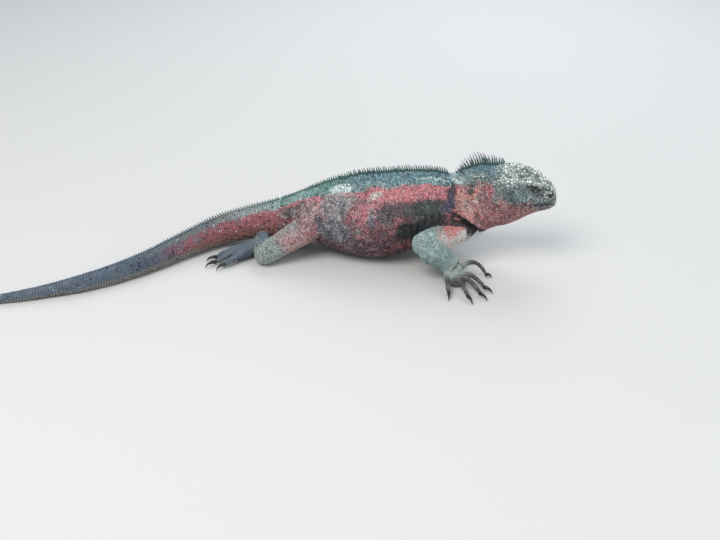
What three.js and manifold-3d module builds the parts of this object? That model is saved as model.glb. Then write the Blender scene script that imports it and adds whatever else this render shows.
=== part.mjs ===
// A marine iguana at rest, life-size: belly, tail and feet on the floor, chest and head raised on the front legs.
// Millimetres, +Z up, +X towards the head, the origin on the floor under the middle of the belly.
import * as THREE from "three";
import { mergeVertices } from "three/addons/utils/BufferGeometryUtils.js";
import Module from "manifold-3d";

const wasm = await Module();
wasm.setup();

// Sizes shared by every part
const GAP = 0.3; // between parts that touch
const SUNK = 3; // how deep the root of a spine or knob is set
const TRUNK_SIDES = 26;
const TAIL_SIDES = 12;
const HEAD_SIDES = 24;
const LIMB_SIDES = 12;
const DIGIT_SIDES = 6;
const CLAW_SIDES = 5;

// Trunk and tail, from the tip of the tail to the chest: the place of the midline on the floor plan, the lowest and
// highest level, the half width, and ridge, which is 2 for a round back and less for one that rises to a ridge.
const SPINE = [
  { x: -606, y: -222, bottom: 0.2, top: 3, half: 1.4, ridge: 2 },
  { x: -550, y: -211, bottom: -0.4, top: 8, half: 3.4, ridge: 1.7 },
  { x: -492, y: -195, bottom: -0.4, top: 13, half: 5, ridge: 1.6 },
  { x: -435, y: -172, bottom: -0.4, top: 19, half: 7.5, ridge: 1.5 },
  { x: -379, y: -140, bottom: -0.4, top: 26, half: 10.5, ridge: 1.5 },
  { x: -329, y: -97, bottom: -0.4, top: 31, half: 12.5, ridge: 1.5 },
  { x: -285, y: -45, bottom: -0.4, top: 37, half: 15, ridge: 1.55 },
  { x: -245, y: -6, bottom: 2, top: 45, half: 18, ridge: 1.6 },
  { x: -203, y: 10, bottom: 7, top: 55, half: 22, ridge: 1.65 },
  { x: -165, y: 13, bottom: 12, top: 67, half: 27, ridge: 1.7 },
  { x: -130, y: 12, bottom: 15, top: 81.5, half: 34, ridge: 1.75 },
  { x: -98, y: 11, bottom: 14, top: 97, half: 43, ridge: 1.75 },
  { x: -70, y: 11, bottom: 6, top: 107.5, half: 54, ridge: 1.75 },
  { x: -38, y: 11, bottom: -1.4, top: 116.5, half: 60.5, ridge: 1.75 },
  { x: -5, y: 10, bottom: -1.6, top: 122, half: 61, ridge: 1.75 },
  { x: 28, y: 8, bottom: 8.5, top: 127, half: 57, ridge: 1.75 },
  { x: 58, y: 5, bottom: 20, top: 130, half: 50.5, ridge: 1.75 },
  { x: 82, y: 2, bottom: 27, top: 129, half: 44, ridge: 1.8 },
  { x: 105, y: 0, bottom: 30, top: 121, half: 36, ridge: 2 },
  { x: 123, y: 0, bottom: 38, top: 108, half: 25, ridge: 2 },
  { x: 134, y: 0, bottom: 49, top: 92, half: 12, ridge: 2 },
];
const WIDEST_AT = 0.42; // the level of the widest place, as a share of the height
const BELLY_ROUND = 2.2; // over 2 flattens the underside
// Where the tail is parted, and where it leaves the trunk, counted in stations of SPINE.
const TAIL_CUTS = [2.5, 4.5, 6.2, 7.8, 9.4];
const TAIL_NAMES = ["tail_tip", "tail_end", "tail_middle", "tail_front", "tail_base"];

// Neck: rings that lean back, and hang over the shoulder as the collar fold by the sweep at their sides.
const NECK = [
  { x: 114, z: 86, lean: 29, up: 47, down: 45.5, half: 39, sweep: 15 },
  { x: 123, z: 90, lean: 24, up: 49, down: 46.5, half: 38, sweep: 11 },
  { x: 136, z: 96, lean: 13, up: 50, down: 46, half: 33.5, sweep: 4 },
  { x: 153, z: 100, lean: 0, up: 47.5, down: 47, half: 30, sweep: 0 },
];

// Head: where along X, the lowest and highest level, and the half width at five levels between them.
const HEAD = [
  { x: 153, bottom: 53, top: 147.5, jaw: 17.5, lip: 28, cheek: 30, brow: 22.5, crown: 4 },
  { x: 166, bottom: 56, top: 147.5, jaw: 17, lip: 27.5, cheek: 29, brow: 23, crown: 7 },
  { x: 181, bottom: 63, top: 147, jaw: 16, lip: 26, cheek: 27, brow: 22, crown: 8.5 },
  { x: 196, bottom: 72, top: 142.5, jaw: 15, lip: 24, cheek: 23.5, brow: 20.5, crown: 9 },
  { x: 209, bottom: 79, top: 136, jaw: 14, lip: 21.5, cheek: 20, brow: 19, crown: 9 },
  { x: 219, bottom: 82.5, top: 128.5, jaw: 12, lip: 19, cheek: 17.5, brow: 15, crown: 8 },
  { x: 227.5, bottom: 86, top: 120, jaw: 9.5, lip: 16, cheek: 15, brow: 11.5, crown: 6 },
  { x: 232.5, bottom: 90, top: 113, jaw: 6, lip: 11.5, cheek: 11.5, brow: 8, crown: 4 },
  { x: 234.5, bottom: 95.5, top: 107, jaw: 3, lip: 6, cheek: 6, brow: 4, crown: 2 },
];
const LEVELS = { jaw: 0.1, lip: 0.34, cheek: 0.58, brow: 0.84, crown: 1 };

// Eyes, lids, brows, nostrils and ears stand at x, y and z on each side.
const EYE = { x: 205.3, y: 15.8, z: 120.5, radius: 6.6 };
const LID = { y: 20.4, ring: 7.4, tube: 1.9, long: 1.15, tall: 0.74, turn: 0.12 };
const BROW = { x: 206, y: 18.6, z: 127.6, long: 11, wide: 3.8, tall: 3, slope: 0.25 };
const NOSTRIL = { x: 228, y: 11, z: 110.5, ring: 2.6, tube: 1, pit: 1.6, deep: 6, turn: 0.75 };
const EAR = { x: 174.5, y: 28.6, z: 115, long: 5.4, deep: 2.4, tall: 7.2 };

// Mouth: the line between the lips in x and z, from the corner to the front
const MOUTH = [
  [193, 99.5],
  [200, 100.8],
  [210, 99.8],
  [221, 99.2],
  [232, 96.4],
  [241, 95],
];
const MOUTH_CUT = { high: 1, deep: 2.2 };
const LIP = { high: 3.8, proud: 0.7, deep: 3 };

// Crest spines: how far apart, how tall, how wide along the back, how thick, how far they lean back.
const NAPE_CREST = { from: 108, to: 167, count: 14, wide: 3.6, thick: 2.4, lean: 0.5 };
const NAPE_TALL = [11, 14.5, 18, 20.5, 18.5, 15.5, 13, 11];
const BACK_CREST = { pitch: 6.6, wide: 4.2, thick: 2.2, lean: 0.5, shoulder: 10.5, rump: 3.8, dip: 3.5 };
const TAIL_CREST = { pitch: 9.2, wide: 5, thick: 2, lean: 0.8, tall: 4.6 };
const KNOBS = { rows: 8, across: 5, size: 3.6, tall: 2.4, from: 0.9, to: 6.6 };

// Digits of a hand and a foot, the inner one first: heading away from the middle one in degrees, reach of the pad and
// of the claw's tip from the wrist, how high the middle joint arches, and how far it is turned outwards.
const HAND_DIGITS = [
  { heading: 53, reach: 52, tip: 59, arch: 34, turned: 7 },
  { heading: 16, reach: 58, tip: 69, arch: 18, turned: 3 },
  { heading: 0, reach: 64, tip: 76, arch: 18, turned: 1 },
  { heading: -17, reach: 62, tip: 74, arch: 17, turned: -2 },
  { heading: -42, reach: 50, tip: 60, arch: 15, turned: -4 },
];
const FOOT_DIGITS = [
  { heading: 7, reach: 40, tip: 50, arch: 11, turned: 4 },
  { heading: 10, reach: 67, tip: 80, arch: 12, turned: 3 },
  { heading: -1, reach: 75, tip: 89, arch: 13, turned: 0 },
  { heading: -12, reach: 69, tip: 83, arch: 13, turned: -2 },
  { heading: -27, reach: 47, tip: 59, arch: 11, turned: -4 },
];
const TOE_LIFT = 4.6; // height of the axis at the end of a digit
const CLAW = { root: 2.9, arch: 5, end: 0.45, lift: 1.3 };

// Limbs: joints as [x, y, z], and the heading of the middle digit in degrees from +X.
const ARMS = {
  right: { shoulder: [104, -25, 57], elbow: [60, -61, 51], wrist: [95, -63, 23], heading: -46 },
  left: { shoulder: [101, 26, 57], elbow: [58, 66, 51], wrist: [82, 80, 23], heading: 58 },
};
const ARM_RADII = {
  upper: 19, elbow: 17.5, bulge: 3.6, wrist: 15,
  palm: 16, flat: 0.58, lift: 10, long: 15, knuckles: 17, spread: 1.3, knuckle: 5, toe: 3.8,
};
const LEGS = {
  right: { hip: [-103, -24, 50], knee: [-164, -52, 16], ankle: [-173, -22, 25], heading: -144 },
  left: { hip: [-104, 46, 50], knee: [-141, 98, 17], ankle: [-172, 56, 22], heading: 164 },
};
const LEG_RADII = {
  upper: 21.5, elbow: 15.5, bulge: 1.5, wrist: 11,
  palm: 12, flat: 0.72, lift: 12, long: 25, knuckles: 17.5, spread: 0.9, knuckle: 5.5, toe: 4.3,
};

// Colours, roughness and metalness
const finish = (color, roughness) => new THREE.MeshStandardMaterial({ color, roughness, metalness: 0 });
const RED_HIDE = finish(0xa5525a, 0.75);
const TEAL_HIDE = finish(0x7fa39b, 0.75);
const GREY_HIDE = finish(0x5b6874, 0.7);
const PALE_HIDE = finish(0xa3aca0, 0.8);
const EYE_DARK = finish(0x2b211b, 0.15);

// A repeatable draw between -1 and 1
let seed = 20817;
function draw() {
  seed = (seed * 1103515245 + 12345) % 2147483648;
  return (seed / 2147483648) * 2 - 1;
}

const vec = (p) => new THREE.Vector3(...p);
const UP = new THREE.Vector3(0, 0, 1);

// Solids from geometry, and back
function solid(geometry) {
  const bare = geometry.clone();
  bare.deleteAttribute("normal");
  bare.deleteAttribute("uv");
  const merged = mergeVertices(bare, 1e-4);
  return new wasm.Manifold(
    new wasm.Mesh({
      numProp: 3,
      vertProperties: new Float32Array(merged.attributes.position.array),
      triVerts: new Uint32Array(merged.index.array),
    }),
  );
}

function geometryOf(body) {
  const mesh = body.getMesh();
  const geometry = new THREE.BufferGeometry();
  geometry.setAttribute("position", new THREE.BufferAttribute(new Float32Array(mesh.vertProperties), 3));
  geometry.setIndex(new THREE.BufferAttribute(new Uint32Array(mesh.triVerts), 1));
  geometry.computeVertexNormals();
  return geometry;
}

// Only the largest closed surface of a body is kept, which drops loose scraps.
function largest(body) {
  return body.decompose().reduce((best, piece) => (piece.volume() > best.volume() ? piece : best));
}

function union(bodies) {
  return bodies.reduce((whole, next) => whole.add(next));
}

// A closed surface over rings of equal count, with a fan over each end, turned face out whichever way the rings run
function loft(rings) {
  const sides = rings[0].length;
  const position = rings.flat().flatMap((p) => [p.x, p.y, p.z]);
  const index = [];
  for (let r = 0; r + 1 < rings.length; r++) {
    for (let i = 0; i < sides; i++) {
      const a = r * sides + i;
      const b = r * sides + ((i + 1) % sides);
      index.push(a, b, a + sides, b, b + sides, a + sides);
    }
  }
  for (const end of [0, rings.length - 1]) {
    const centre = rings[end].reduce((sum, p) => sum.add(p), new THREE.Vector3()).divideScalar(sides);
    const hub = position.length / 3;
    position.push(centre.x, centre.y, centre.z);
    for (let i = 0; i < sides; i++) {
      const a = end * sides + i;
      const b = end * sides + ((i + 1) % sides);
      index.push(...(end === 0 ? [b, a, hub] : [a, b, hub]));
    }
  }
  const geometry = new THREE.BufferGeometry();
  geometry.setAttribute("position", new THREE.Float32BufferAttribute(position, 3));
  geometry.setIndex(index);
  const body = solid(geometry);
  return body.volume() > 0 ? body : loft(rings.map((ring) => [...ring].reverse()));
}

// Smooth sizes between stations, where u counts stations
function smooth(stations) {
  const keys = Object.keys(stations[0]);
  const curveOf = (key) => {
    const points = stations.map((station) => new THREE.Vector3(station[key], 0, 0));
    return new THREE.CatmullRomCurve3(points, false, "catmullrom", 0.5);
  };
  const curves = keys.map(curveOf);
  return (u) => {
    const t = THREE.MathUtils.clamp(u / (stations.length - 1), 0, 1);
    return Object.fromEntries(keys.map((key, k) => [key, curves[k].getPoint(t).x]));
  };
}

// The station nearest to a place along X
function stationAt(at, count, x) {
  let best = 0;
  for (let u = 0; u <= count - 1; u += 0.02) {
    if (Math.abs(at(u).x - x) < Math.abs(at(best).x - x)) best = u;
  }
  return best;
}

const ringOf = (sides, pointAt) => Array.from({ length: sides }, (_, i) => pointAt((i / sides) * 2 * Math.PI));

// Trunk and tail
const spineAt = smooth(SPINE);

function forwardAt(u) {
  const ahead = spineAt(u + 0.02);
  const behind = spineAt(u - 0.02);
  return new THREE.Vector3(ahead.x - behind.x, ahead.y - behind.y, 0).normalize();
}

// A point of the trunk's surface: turn 0 is the left side, a quarter turn the ridge of the back.
function spinePoint(u, turn, grow = 0, shift = 0) {
  const here = spineAt(u);
  const forward = forwardAt(u);
  const left = new THREE.Vector3(-forward.y, forward.x, 0);
  const c = Math.cos(turn);
  const s = Math.sin(turn);
  const level = here.bottom + (here.top - here.bottom) * WIDEST_AT;
  const round = s > 0 ? here.ridge : BELLY_ROUND;
  const reach = (s > 0 ? here.top - level : level - here.bottom) + grow;
  const side = Math.sign(c) * Math.abs(c) ** (2 / round) * (here.half + grow);
  const rise = Math.sign(s) * Math.abs(s) ** (s > 0 ? 1 : 2 / BELLY_ROUND) * reach;
  return new THREE.Vector3(here.x, here.y, 0)
    .addScaledVector(forward, shift)
    .addScaledVector(left, side)
    .setZ(level + rise);
}

function spineSolid(from, to, sides, steps, grow = 0) {
  const rings = [];
  for (let r = 0; r <= steps; r++) {
    const end = r === 0 ? 1 : r === steps ? -1 : 0;
    const u = from + ((to - from) * r) / steps;
    rings.push(ringOf(sides, (turn) => spinePoint(u, turn, grow, end * (GAP / 2 - grow))));
  }
  return loft(rings);
}

// Neck
const neckAt = smooth(NECK);

function neckPoint(u, turn, grow = 0, shift = 0) {
  const here = neckAt(u);
  const lean = THREE.MathUtils.degToRad(here.lean);
  const up = new THREE.Vector3(-Math.sin(lean), 0, Math.cos(lean));
  const forward = new THREE.Vector3(Math.cos(lean), 0, Math.sin(lean));
  const rise = Math.sin(turn) * ((Math.sin(turn) > 0 ? here.up : here.down) + grow);
  const height = (rise + here.down) / (here.up + here.down);
  const swept = here.sweep * Math.sin(Math.PI * THREE.MathUtils.clamp(height, 0, 1) ** 2) ** 2;
  return new THREE.Vector3(here.x - swept, Math.cos(turn) * (here.half + grow), here.z)
    .addScaledVector(forward, shift)
    .addScaledVector(up, rise);
}

function neckSolid(grow = 0) {
  const steps = 7;
  const rings = [];
  for (let r = 0; r <= steps; r++) {
    const shift = r === 0 ? -grow : r === steps ? -GAP + grow : 0;
    const u = ((NECK.length - 1) * r) / steps;
    rings.push(ringOf(TRUNK_SIDES, (turn) => neckPoint(u, turn, grow, shift)));
  }
  return loft(rings);
}

// Head
const headAt = smooth(HEAD);

// A ring of the head, from under the chin up the left side, over the crown and down the right side
function headRing(u, grow = 0) {
  const here = headAt(u);
  const tall = here.top - here.bottom;
  const points = [new THREE.Vector3(here.x, 0, here.bottom - grow)];
  for (const [name, share] of Object.entries(LEVELS)) {
    const raised = share === 1 ? grow : 0;
    points.push(new THREE.Vector3(here.x, here[name] + grow, here.bottom + tall * share + raised));
  }
  points.push(new THREE.Vector3(here.x, 0, here.top + tall * 0.012 + grow));
  const half = new THREE.CatmullRomCurve3(points, false, "catmullrom", 0.5).getPoints(HEAD_SIDES / 2);
  const other = half.slice(1, -1).reverse();
  return [...half, ...other.map((p) => new THREE.Vector3(p.x, -p.y, p.z))];
}

function headSolid(grow = 0) {
  const steps = 15;
  const rings = [];
  for (let r = 0; r <= steps; r++) rings.push(headRing(((HEAD.length - 1) * r) / steps, grow));
  rings[steps].forEach((p) => (p.x += grow));
  return loft(rings);
}

// A spine stands at a foot and leans back: four sides, thin across the body, tapered to a blunt tip.
function spine(foot, back, tall, { wide, thick, lean }) {
  const side = new THREE.Vector3().crossVectors(UP, back).normalize();
  const rings = [
    [-SUNK, 1],
    [0.45 * tall, 0.7],
    [tall, 0.17],
  ].map(([rise, size]) => {
    const centre = foot
      .clone()
      .addScaledVector(UP, rise)
      .addScaledVector(back, lean * 0.6 * tall * (Math.max(0, rise) / tall) ** 1.7);
    return ringOf(4, (turn) =>
      centre
        .clone()
        .addScaledVector(back, (Math.cos(turn) * wide * size) / 2)
        .addScaledVector(side, (Math.sin(turn) * thick * size) / 2),
    );
  });
  return loft(rings);
}

// Spines along the ridge of the trunk or tail, clear of both ends of the stretch
function ridgeSpines(from, to, sizes, tallAt) {
  const ridge = (share) => spinePoint(from + (to - from) * share, Math.PI / 2);
  const line = new THREE.CatmullRomCurve3(Array.from({ length: 41 }, (_, i) => ridge(i / 40)));
  const length = line.getLength();
  const count = Math.floor((length - 2 * sizes.wide) / sizes.pitch);
  const made = [];
  for (let i = 0; i <= count; i++) {
    const foot = line.getPointAt((sizes.wide + i * sizes.pitch) / length);
    const back = line.getTangentAt((sizes.wide + i * sizes.pitch) / length).setZ(0).normalize().negate();
    made.push(spine(foot, back, tallAt(foot.x) * (1 + 0.12 * draw()), sizes));
  }
  return made;
}

// A limb's tube with round ends along a straight axis; bulge swells its upper half, as muscle does.
function segment(from, to, start, end, { bulge = 0, flat = 1, grow = 0, steps = 6, sides = LIMB_SIDES } = {}) {
  const a = vec(from);
  const b = vec(to);
  const forward = b.clone().sub(a).normalize();
  const side = UP.clone().cross(forward).normalize();
  const up = forward.clone().cross(side);
  const length = a.distanceTo(b);
  const r0 = start + grow;
  const r1 = end + grow;
  const ring = (along, radius) =>
    ringOf(sides, (turn) =>
      a
        .clone()
        .addScaledVector(forward, along)
        .addScaledVector(side, Math.cos(turn) * radius)
        .addScaledVector(up, Math.sin(turn) * radius * flat),
    );
  const caps = [0.2, 0.7, 0.94];
  const rings = caps.map((share) => ring(-r0 * Math.sqrt(1 - share * share), r0 * share));
  for (let i = 0; i <= steps; i++) {
    const t = i / steps;
    rings.push(ring(length * t, r0 + (r1 - r0) * t + bulge * Math.sin(Math.PI * t ** 0.7) ** 2));
  }
  for (const share of caps.reverse()) rings.push(ring(length + r1 * Math.sqrt(1 - share * share), r1 * share));
  return loft(rings);
}

// A tube along a curve
function tube(curve, steps, sides, radiusAt) {
  const rings = [];
  for (let i = 0; i <= steps; i++) {
    const forward = curve.getTangent(i / steps);
    const side = UP.clone().cross(forward).normalize();
    const up = forward.clone().cross(side).normalize();
    const centre = curve.getPoint(i / steps);
    const radius = radiusAt(i / steps);
    rings.push(
      ringOf(sides, (turn) =>
        centre
          .clone()
          .addScaledVector(side, Math.sin(turn) * radius)
          .addScaledVector(up, Math.cos(turn) * radius),
      ),
    );
  }
  return loft(rings);
}

// A hand or foot: a flat palm, and five digits that arch over their middle joint and end in a curved claw
function foot(wrist, heading, digits, mirror, radii) {
  const start = vec(wrist);
  const toward = (degrees, distance, z) => {
    const turn = THREE.MathUtils.degToRad(heading + mirror * degrees);
    return new THREE.Vector3(start.x + Math.cos(turn) * distance, start.y + Math.sin(turn) * distance, z);
  };
  const palmEnd = toward(-2, radii.long, radii.lift);
  const flatPalm = { flat: radii.flat, steps: 3, sides: 10 };
  const parts = [segment(wrist, palmEnd.toArray(), radii.wrist, radii.palm, flatPalm)];
  for (const digit of digits) {
    const root = toward(digit.heading * radii.spread, radii.knuckles, radii.lift + 3.5);
    const middle = toward(digit.heading + digit.turned, (radii.knuckles + digit.reach) * 0.52, digit.arch + 4);
    const end = toward(digit.heading, digit.reach, TOE_LIFT);
    const bone = new THREE.QuadraticBezierCurve3(root, middle, end);
    const radiusAt = (t) => {
      const taper = radii.knuckle + (radii.toe - radii.knuckle) * t;
      return taper * (1 + 0.07 * Math.cos(t * Math.PI * 5)) * (t === 1 ? 0.7 : 1);
    };
    parts.push(tube(bone, 5, DIGIT_SIDES, radiusAt));
    const nailRoot = toward(digit.heading, digit.reach - 2.5, TOE_LIFT + CLAW.lift);
    const nailTop = toward(digit.heading, digit.reach + (digit.tip - digit.reach) * 0.6, TOE_LIFT + CLAW.arch);
    const nailTip = toward(digit.heading + 2 * draw(), digit.tip, CLAW.end * 2);
    const nail = new THREE.QuadraticBezierCurve3(nailRoot, nailTop, nailTip);
    parts.push(tube(nail, 3, CLAW_SIDES, (t) => CLAW.root + (CLAW.end - CLAW.root) * t ** 1.2));
  }
  return union(parts);
}

// Everything below the floor level is cut away, which leaves the flats that the animal rests on.
const floorBox = new THREE.BoxGeometry(1400, 800, 60);
floorBox.translate(-150, 0, -30);
const FLOOR = solid(floorBox);

const group = new THREE.Group();
function place(name, body, material) {
  const mesh = new THREE.Mesh(geometryOf(largest(body.subtract(FLOOR))), material);
  mesh.name = name;
  group.add(mesh);
}

// Tail in five lengths
const trunkFrom = TAIL_CUTS[TAIL_CUTS.length - 1];
const trunkTo = SPINE.length - 1;
TAIL_NAMES.forEach((name, i) => {
  const from = i === 0 ? 0 : TAIL_CUTS[i - 1];
  const to = TAIL_CUTS[i];
  const body = spineSolid(from, to, TAIL_SIDES, Math.round((to - from) * 3));
  const tallAt = (x) => TAIL_CREST.tall * THREE.MathUtils.clamp((x + 640) / 260, 0.3, 1);
  const spines = ridgeSpines(i === 0 ? 0.9 : from, to, TAIL_CREST, tallAt);
  place(name, union([body, ...spines]), i < 3 ? GREY_HIDE : RED_HIDE);
});

// Trunk, with a crest that grows towards the shoulders and dips in front of them
const neckBody = neckSolid();
const neckClear = neckSolid(GAP);
const trunkClear = spineSolid(trunkFrom, trunkTo, TRUNK_SIDES, 22, GAP);
const backTall = (x) => {
  const grown = THREE.MathUtils.smoothstep(x, -140, -10);
  const dipped = THREE.MathUtils.smoothstep(x, 80, 96);
  const tall = THREE.MathUtils.lerp(BACK_CREST.rump, BACK_CREST.shoulder, grown);
  return THREE.MathUtils.lerp(tall, BACK_CREST.dip, dipped);
};
const backSpines = ridgeSpines(trunkFrom, trunkTo - 2.8, BACK_CREST, backTall);
const trunk = union([spineSolid(trunkFrom, trunkTo, TRUNK_SIDES, 22), ...backSpines]);
place("torso", trunk.subtract(neckClear), RED_HIDE);

// The tall crest of the nape fans out from leaning back to nearly upright, over the neck and on to the crown.
const napeSpines = { neck: [], head: [] };
for (let i = 0; i < NAPE_CREST.count; i++) {
  const share = i / (NAPE_CREST.count - 1);
  const x = THREE.MathUtils.lerp(NAPE_CREST.from, NAPE_CREST.to, share);
  if (Math.abs(x - HEAD[0].x) < NAPE_CREST.wide / 2 + GAP) continue;
  const onHead = x > HEAD[0].x;
  const crown = headAt(stationAt(headAt, HEAD.length, x));
  const nape = (u) => neckPoint(u, Math.PI / 2);
  const foot = onHead ? new THREE.Vector3(crown.x, 0, crown.top) : nape(stationAt(nape, NECK.length, x));
  const place = share * (NAPE_TALL.length - 1);
  const low = Math.min(Math.floor(place), NAPE_TALL.length - 2);
  const tall = THREE.MathUtils.lerp(NAPE_TALL[low], NAPE_TALL[low + 1], place - low) * (1 + 0.08 * draw());
  const lean = NAPE_CREST.lean * (2.2 - 1.9 * share);
  const made = spine(foot, new THREE.Vector3(-1, 0, 0), tall, { ...NAPE_CREST, lean });
  napeSpines[onHead ? "head" : "neck"].push(made);
}
place("neck", union([neckBody, ...napeSpines.neck]).subtract(headSolid(GAP)), TEAL_HIDE);

// Head: pointed scutes over the crown, brow and snout
const knobs = [];
for (let row = 0; row < KNOBS.rows; row++) {
  const u = KNOBS.from + (row * (KNOBS.to - KNOBS.from)) / (KNOBS.rows - 1);
  const ring = headRing(u);
  const ahead = headRing(u + 0.15);
  for (let k = 0; k < KNOBS.across; k++) {
    const at = HEAD_SIDES / 2 + Math.round((k - (KNOBS.across - 1) / 2) * 1.3 + (row % 2) * 0.5);
    const across = ring[at + 1].clone().sub(ring[at - 1]);
    const normal = across.cross(ahead[at].clone().sub(ring[at])).normalize();
    if (normal.z < 0) normal.negate();
    const size = KNOBS.size * (1 + 0.15 * draw()) * (row > 5 ? 0.8 : 1);
    const tall = KNOBS.tall * (1 + 0.25 * draw());
    const cone = new THREE.CylinderGeometry(0, size, tall + SUNK, 4, 1);
    cone.translate(0, (tall - SUNK) / 2, 0);
    cone.applyQuaternion(new THREE.Quaternion().setFromUnitVectors(new THREE.Vector3(0, 1, 0), normal));
    cone.translate(ring[at].x, ring[at].y, ring[at].z);
    knobs.push(solid(cone));
  }
}

// A band of the mouth's line, between two offsets from it, through the whole head
function mouthBand(low, high) {
  const line = new THREE.CatmullRomCurve3(MOUTH.map(([x, z]) => new THREE.Vector3(x, z, 0))).getPoints(5);
  const lower = line.map((p) => new THREE.Vector2(p.x, p.y + low));
  const upper = line.reverse().map((p) => new THREE.Vector2(p.x, p.y + high));
  const band = new THREE.ExtrudeGeometry(new THREE.Shape([...lower, ...upper]), { depth: 80, bevelEnabled: false });
  band.rotateX(Math.PI / 2);
  band.translate(0, 40, 0);
  return solid(band);
}

const lips = headSolid(LIP.proud).intersect(mouthBand(-LIP.high, LIP.high)).subtract(headSolid(-LIP.deep));
const mouthCut = mouthBand(-MOUTH_CUT.high / 2, MOUTH_CUT.high / 2).subtract(headSolid(-MOUTH_CUT.deep));
const added = [...knobs, ...napeSpines.head, lips];
const removed = [mouthCut];
for (const side of [1, -1]) {
  const lid = new THREE.TorusGeometry(LID.ring, LID.tube, 5, 12);
  lid.rotateX(Math.PI / 2);
  lid.scale(LID.long, 1, LID.tall);
  lid.rotateZ(-side * LID.turn);
  lid.translate(EYE.x, side * LID.y, EYE.z);
  added.push(solid(lid));

  const brow = new THREE.SphereGeometry(1, 8, 6);
  brow.scale(BROW.long, BROW.wide, BROW.tall);
  brow.rotateY(BROW.slope);
  brow.translate(BROW.x, side * BROW.y, BROW.z);
  added.push(solid(brow));

  const rim = new THREE.TorusGeometry(NOSTRIL.ring, NOSTRIL.tube, 5, 8);
  rim.rotateY(Math.PI / 2);
  rim.rotateZ(side * NOSTRIL.turn);
  rim.translate(NOSTRIL.x, side * NOSTRIL.y, NOSTRIL.z);
  added.push(solid(rim));

  const pit = new THREE.CylinderGeometry(NOSTRIL.pit, NOSTRIL.pit * 0.7, NOSTRIL.deep, 7);
  pit.rotateZ(-Math.PI / 2 + side * NOSTRIL.turn);
  pit.translate(NOSTRIL.x, side * NOSTRIL.y, NOSTRIL.z);
  removed.push(solid(pit));

  const cup = new THREE.SphereGeometry(1, 10, 8);
  cup.scale(EAR.long, EAR.deep, EAR.tall);
  cup.translate(EAR.x, side * EAR.y, EAR.z);
  removed.push(solid(cup));

  const socket = new THREE.SphereGeometry(EYE.radius + GAP, 12, 8);
  socket.translate(EYE.x, side * EYE.y, EYE.z);
  removed.push(solid(socket));
  const eye = new THREE.SphereGeometry(EYE.radius, 12, 8);
  eye.translate(EYE.x, side * EYE.y, EYE.z);
  place(side > 0 ? "eye_left" : "eye_right", solid(eye), EYE_DARK);
}
place("head", union([headSolid(), ...added]).subtract(union(removed)).subtract(neckClear), PALE_HIDE);

// A limb in three: the upper one is cut clear of the body, and each of the others of the one it grows from.
function limb(names, root, joint, wrist, heading, digits, mirror, radii, clear, materials) {
  const cutClear = (body, others) => others.reduce((left, other) => left.subtract(other), body);
  const upper = (grow) => segment(root, joint, radii.upper, radii.elbow, { flat: 0.96, grow });
  const lower = (grow) => segment(joint, wrist, radii.elbow - 1.2, radii.wrist, { bulge: radii.bulge, grow });
  const end = foot(wrist, heading, digits, mirror, { ...radii, wrist: radii.wrist - 1 });
  place(names[0], cutClear(upper(0), clear), materials[0]);
  place(names[1], cutClear(lower(0), [upper(GAP), ...clear]), materials[1]);
  place(names[2], cutClear(end, [upper(GAP), lower(GAP), ...clear]), GREY_HIDE);
}

const tailClear = spineSolid(TAIL_CUTS[2], trunkFrom, TAIL_SIDES, 9, GAP);
for (const side of ["right", "left"]) {
  const mirror = side === "right" ? 1 : -1;
  const named = (...parts) => parts.map((part) => `${side}_${part}`);
  const { shoulder, elbow, wrist, heading } = ARMS[side];
  const armNames = named("upper_arm", "forearm", "hand");
  const armHides = [TEAL_HIDE, TEAL_HIDE];
  limb(armNames, shoulder, elbow, wrist, heading, HAND_DIGITS, mirror, ARM_RADII, [trunkClear, neckClear], armHides);
  const leg = LEGS[side];
  const legNames = named("thigh", "shank", "foot");
  const legHides = [RED_HIDE, PALE_HIDE];
  const hind = [leg.hip, leg.knee, leg.ankle, leg.heading];
  limb(legNames, ...hind, FOOT_DIGITS, mirror, LEG_RADII, [trunkClear, tailClear], legHides);
}

export default group;
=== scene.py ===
import math

import bmesh
import bpy
import numpy as np
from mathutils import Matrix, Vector, kdtree
from mathutils.bvhtree import BVHTree


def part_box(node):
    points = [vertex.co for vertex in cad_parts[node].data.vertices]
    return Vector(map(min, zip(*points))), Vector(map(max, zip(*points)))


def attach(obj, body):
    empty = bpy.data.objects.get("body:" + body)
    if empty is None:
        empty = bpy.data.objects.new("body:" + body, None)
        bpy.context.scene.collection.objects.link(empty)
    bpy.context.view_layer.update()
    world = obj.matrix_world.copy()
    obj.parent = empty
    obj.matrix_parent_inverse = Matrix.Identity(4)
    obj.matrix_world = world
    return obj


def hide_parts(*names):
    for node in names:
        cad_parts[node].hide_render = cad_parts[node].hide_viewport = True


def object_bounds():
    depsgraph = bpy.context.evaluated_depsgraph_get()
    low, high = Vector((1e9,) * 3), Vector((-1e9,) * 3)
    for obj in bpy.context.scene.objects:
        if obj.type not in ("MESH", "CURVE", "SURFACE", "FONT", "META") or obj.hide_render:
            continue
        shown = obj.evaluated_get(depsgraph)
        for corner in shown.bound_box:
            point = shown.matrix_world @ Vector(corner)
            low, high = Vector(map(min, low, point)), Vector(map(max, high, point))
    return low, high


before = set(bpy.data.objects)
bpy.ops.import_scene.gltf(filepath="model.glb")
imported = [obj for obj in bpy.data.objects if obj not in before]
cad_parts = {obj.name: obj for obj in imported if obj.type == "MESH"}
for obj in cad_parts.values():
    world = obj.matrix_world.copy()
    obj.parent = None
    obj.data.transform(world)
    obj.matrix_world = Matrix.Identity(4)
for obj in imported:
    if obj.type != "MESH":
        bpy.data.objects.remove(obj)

bl_info = {
    "name": "Marine Iguana",
    "version": (1, 0, 0),
    "blender": (4, 5, 0),
    "location": "View3D > Sidebar > Iguana",
    "description": "The skin, scales, crest, eyes and claws of a life-size marine iguana",
    "category": "Add Mesh",
}

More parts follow.
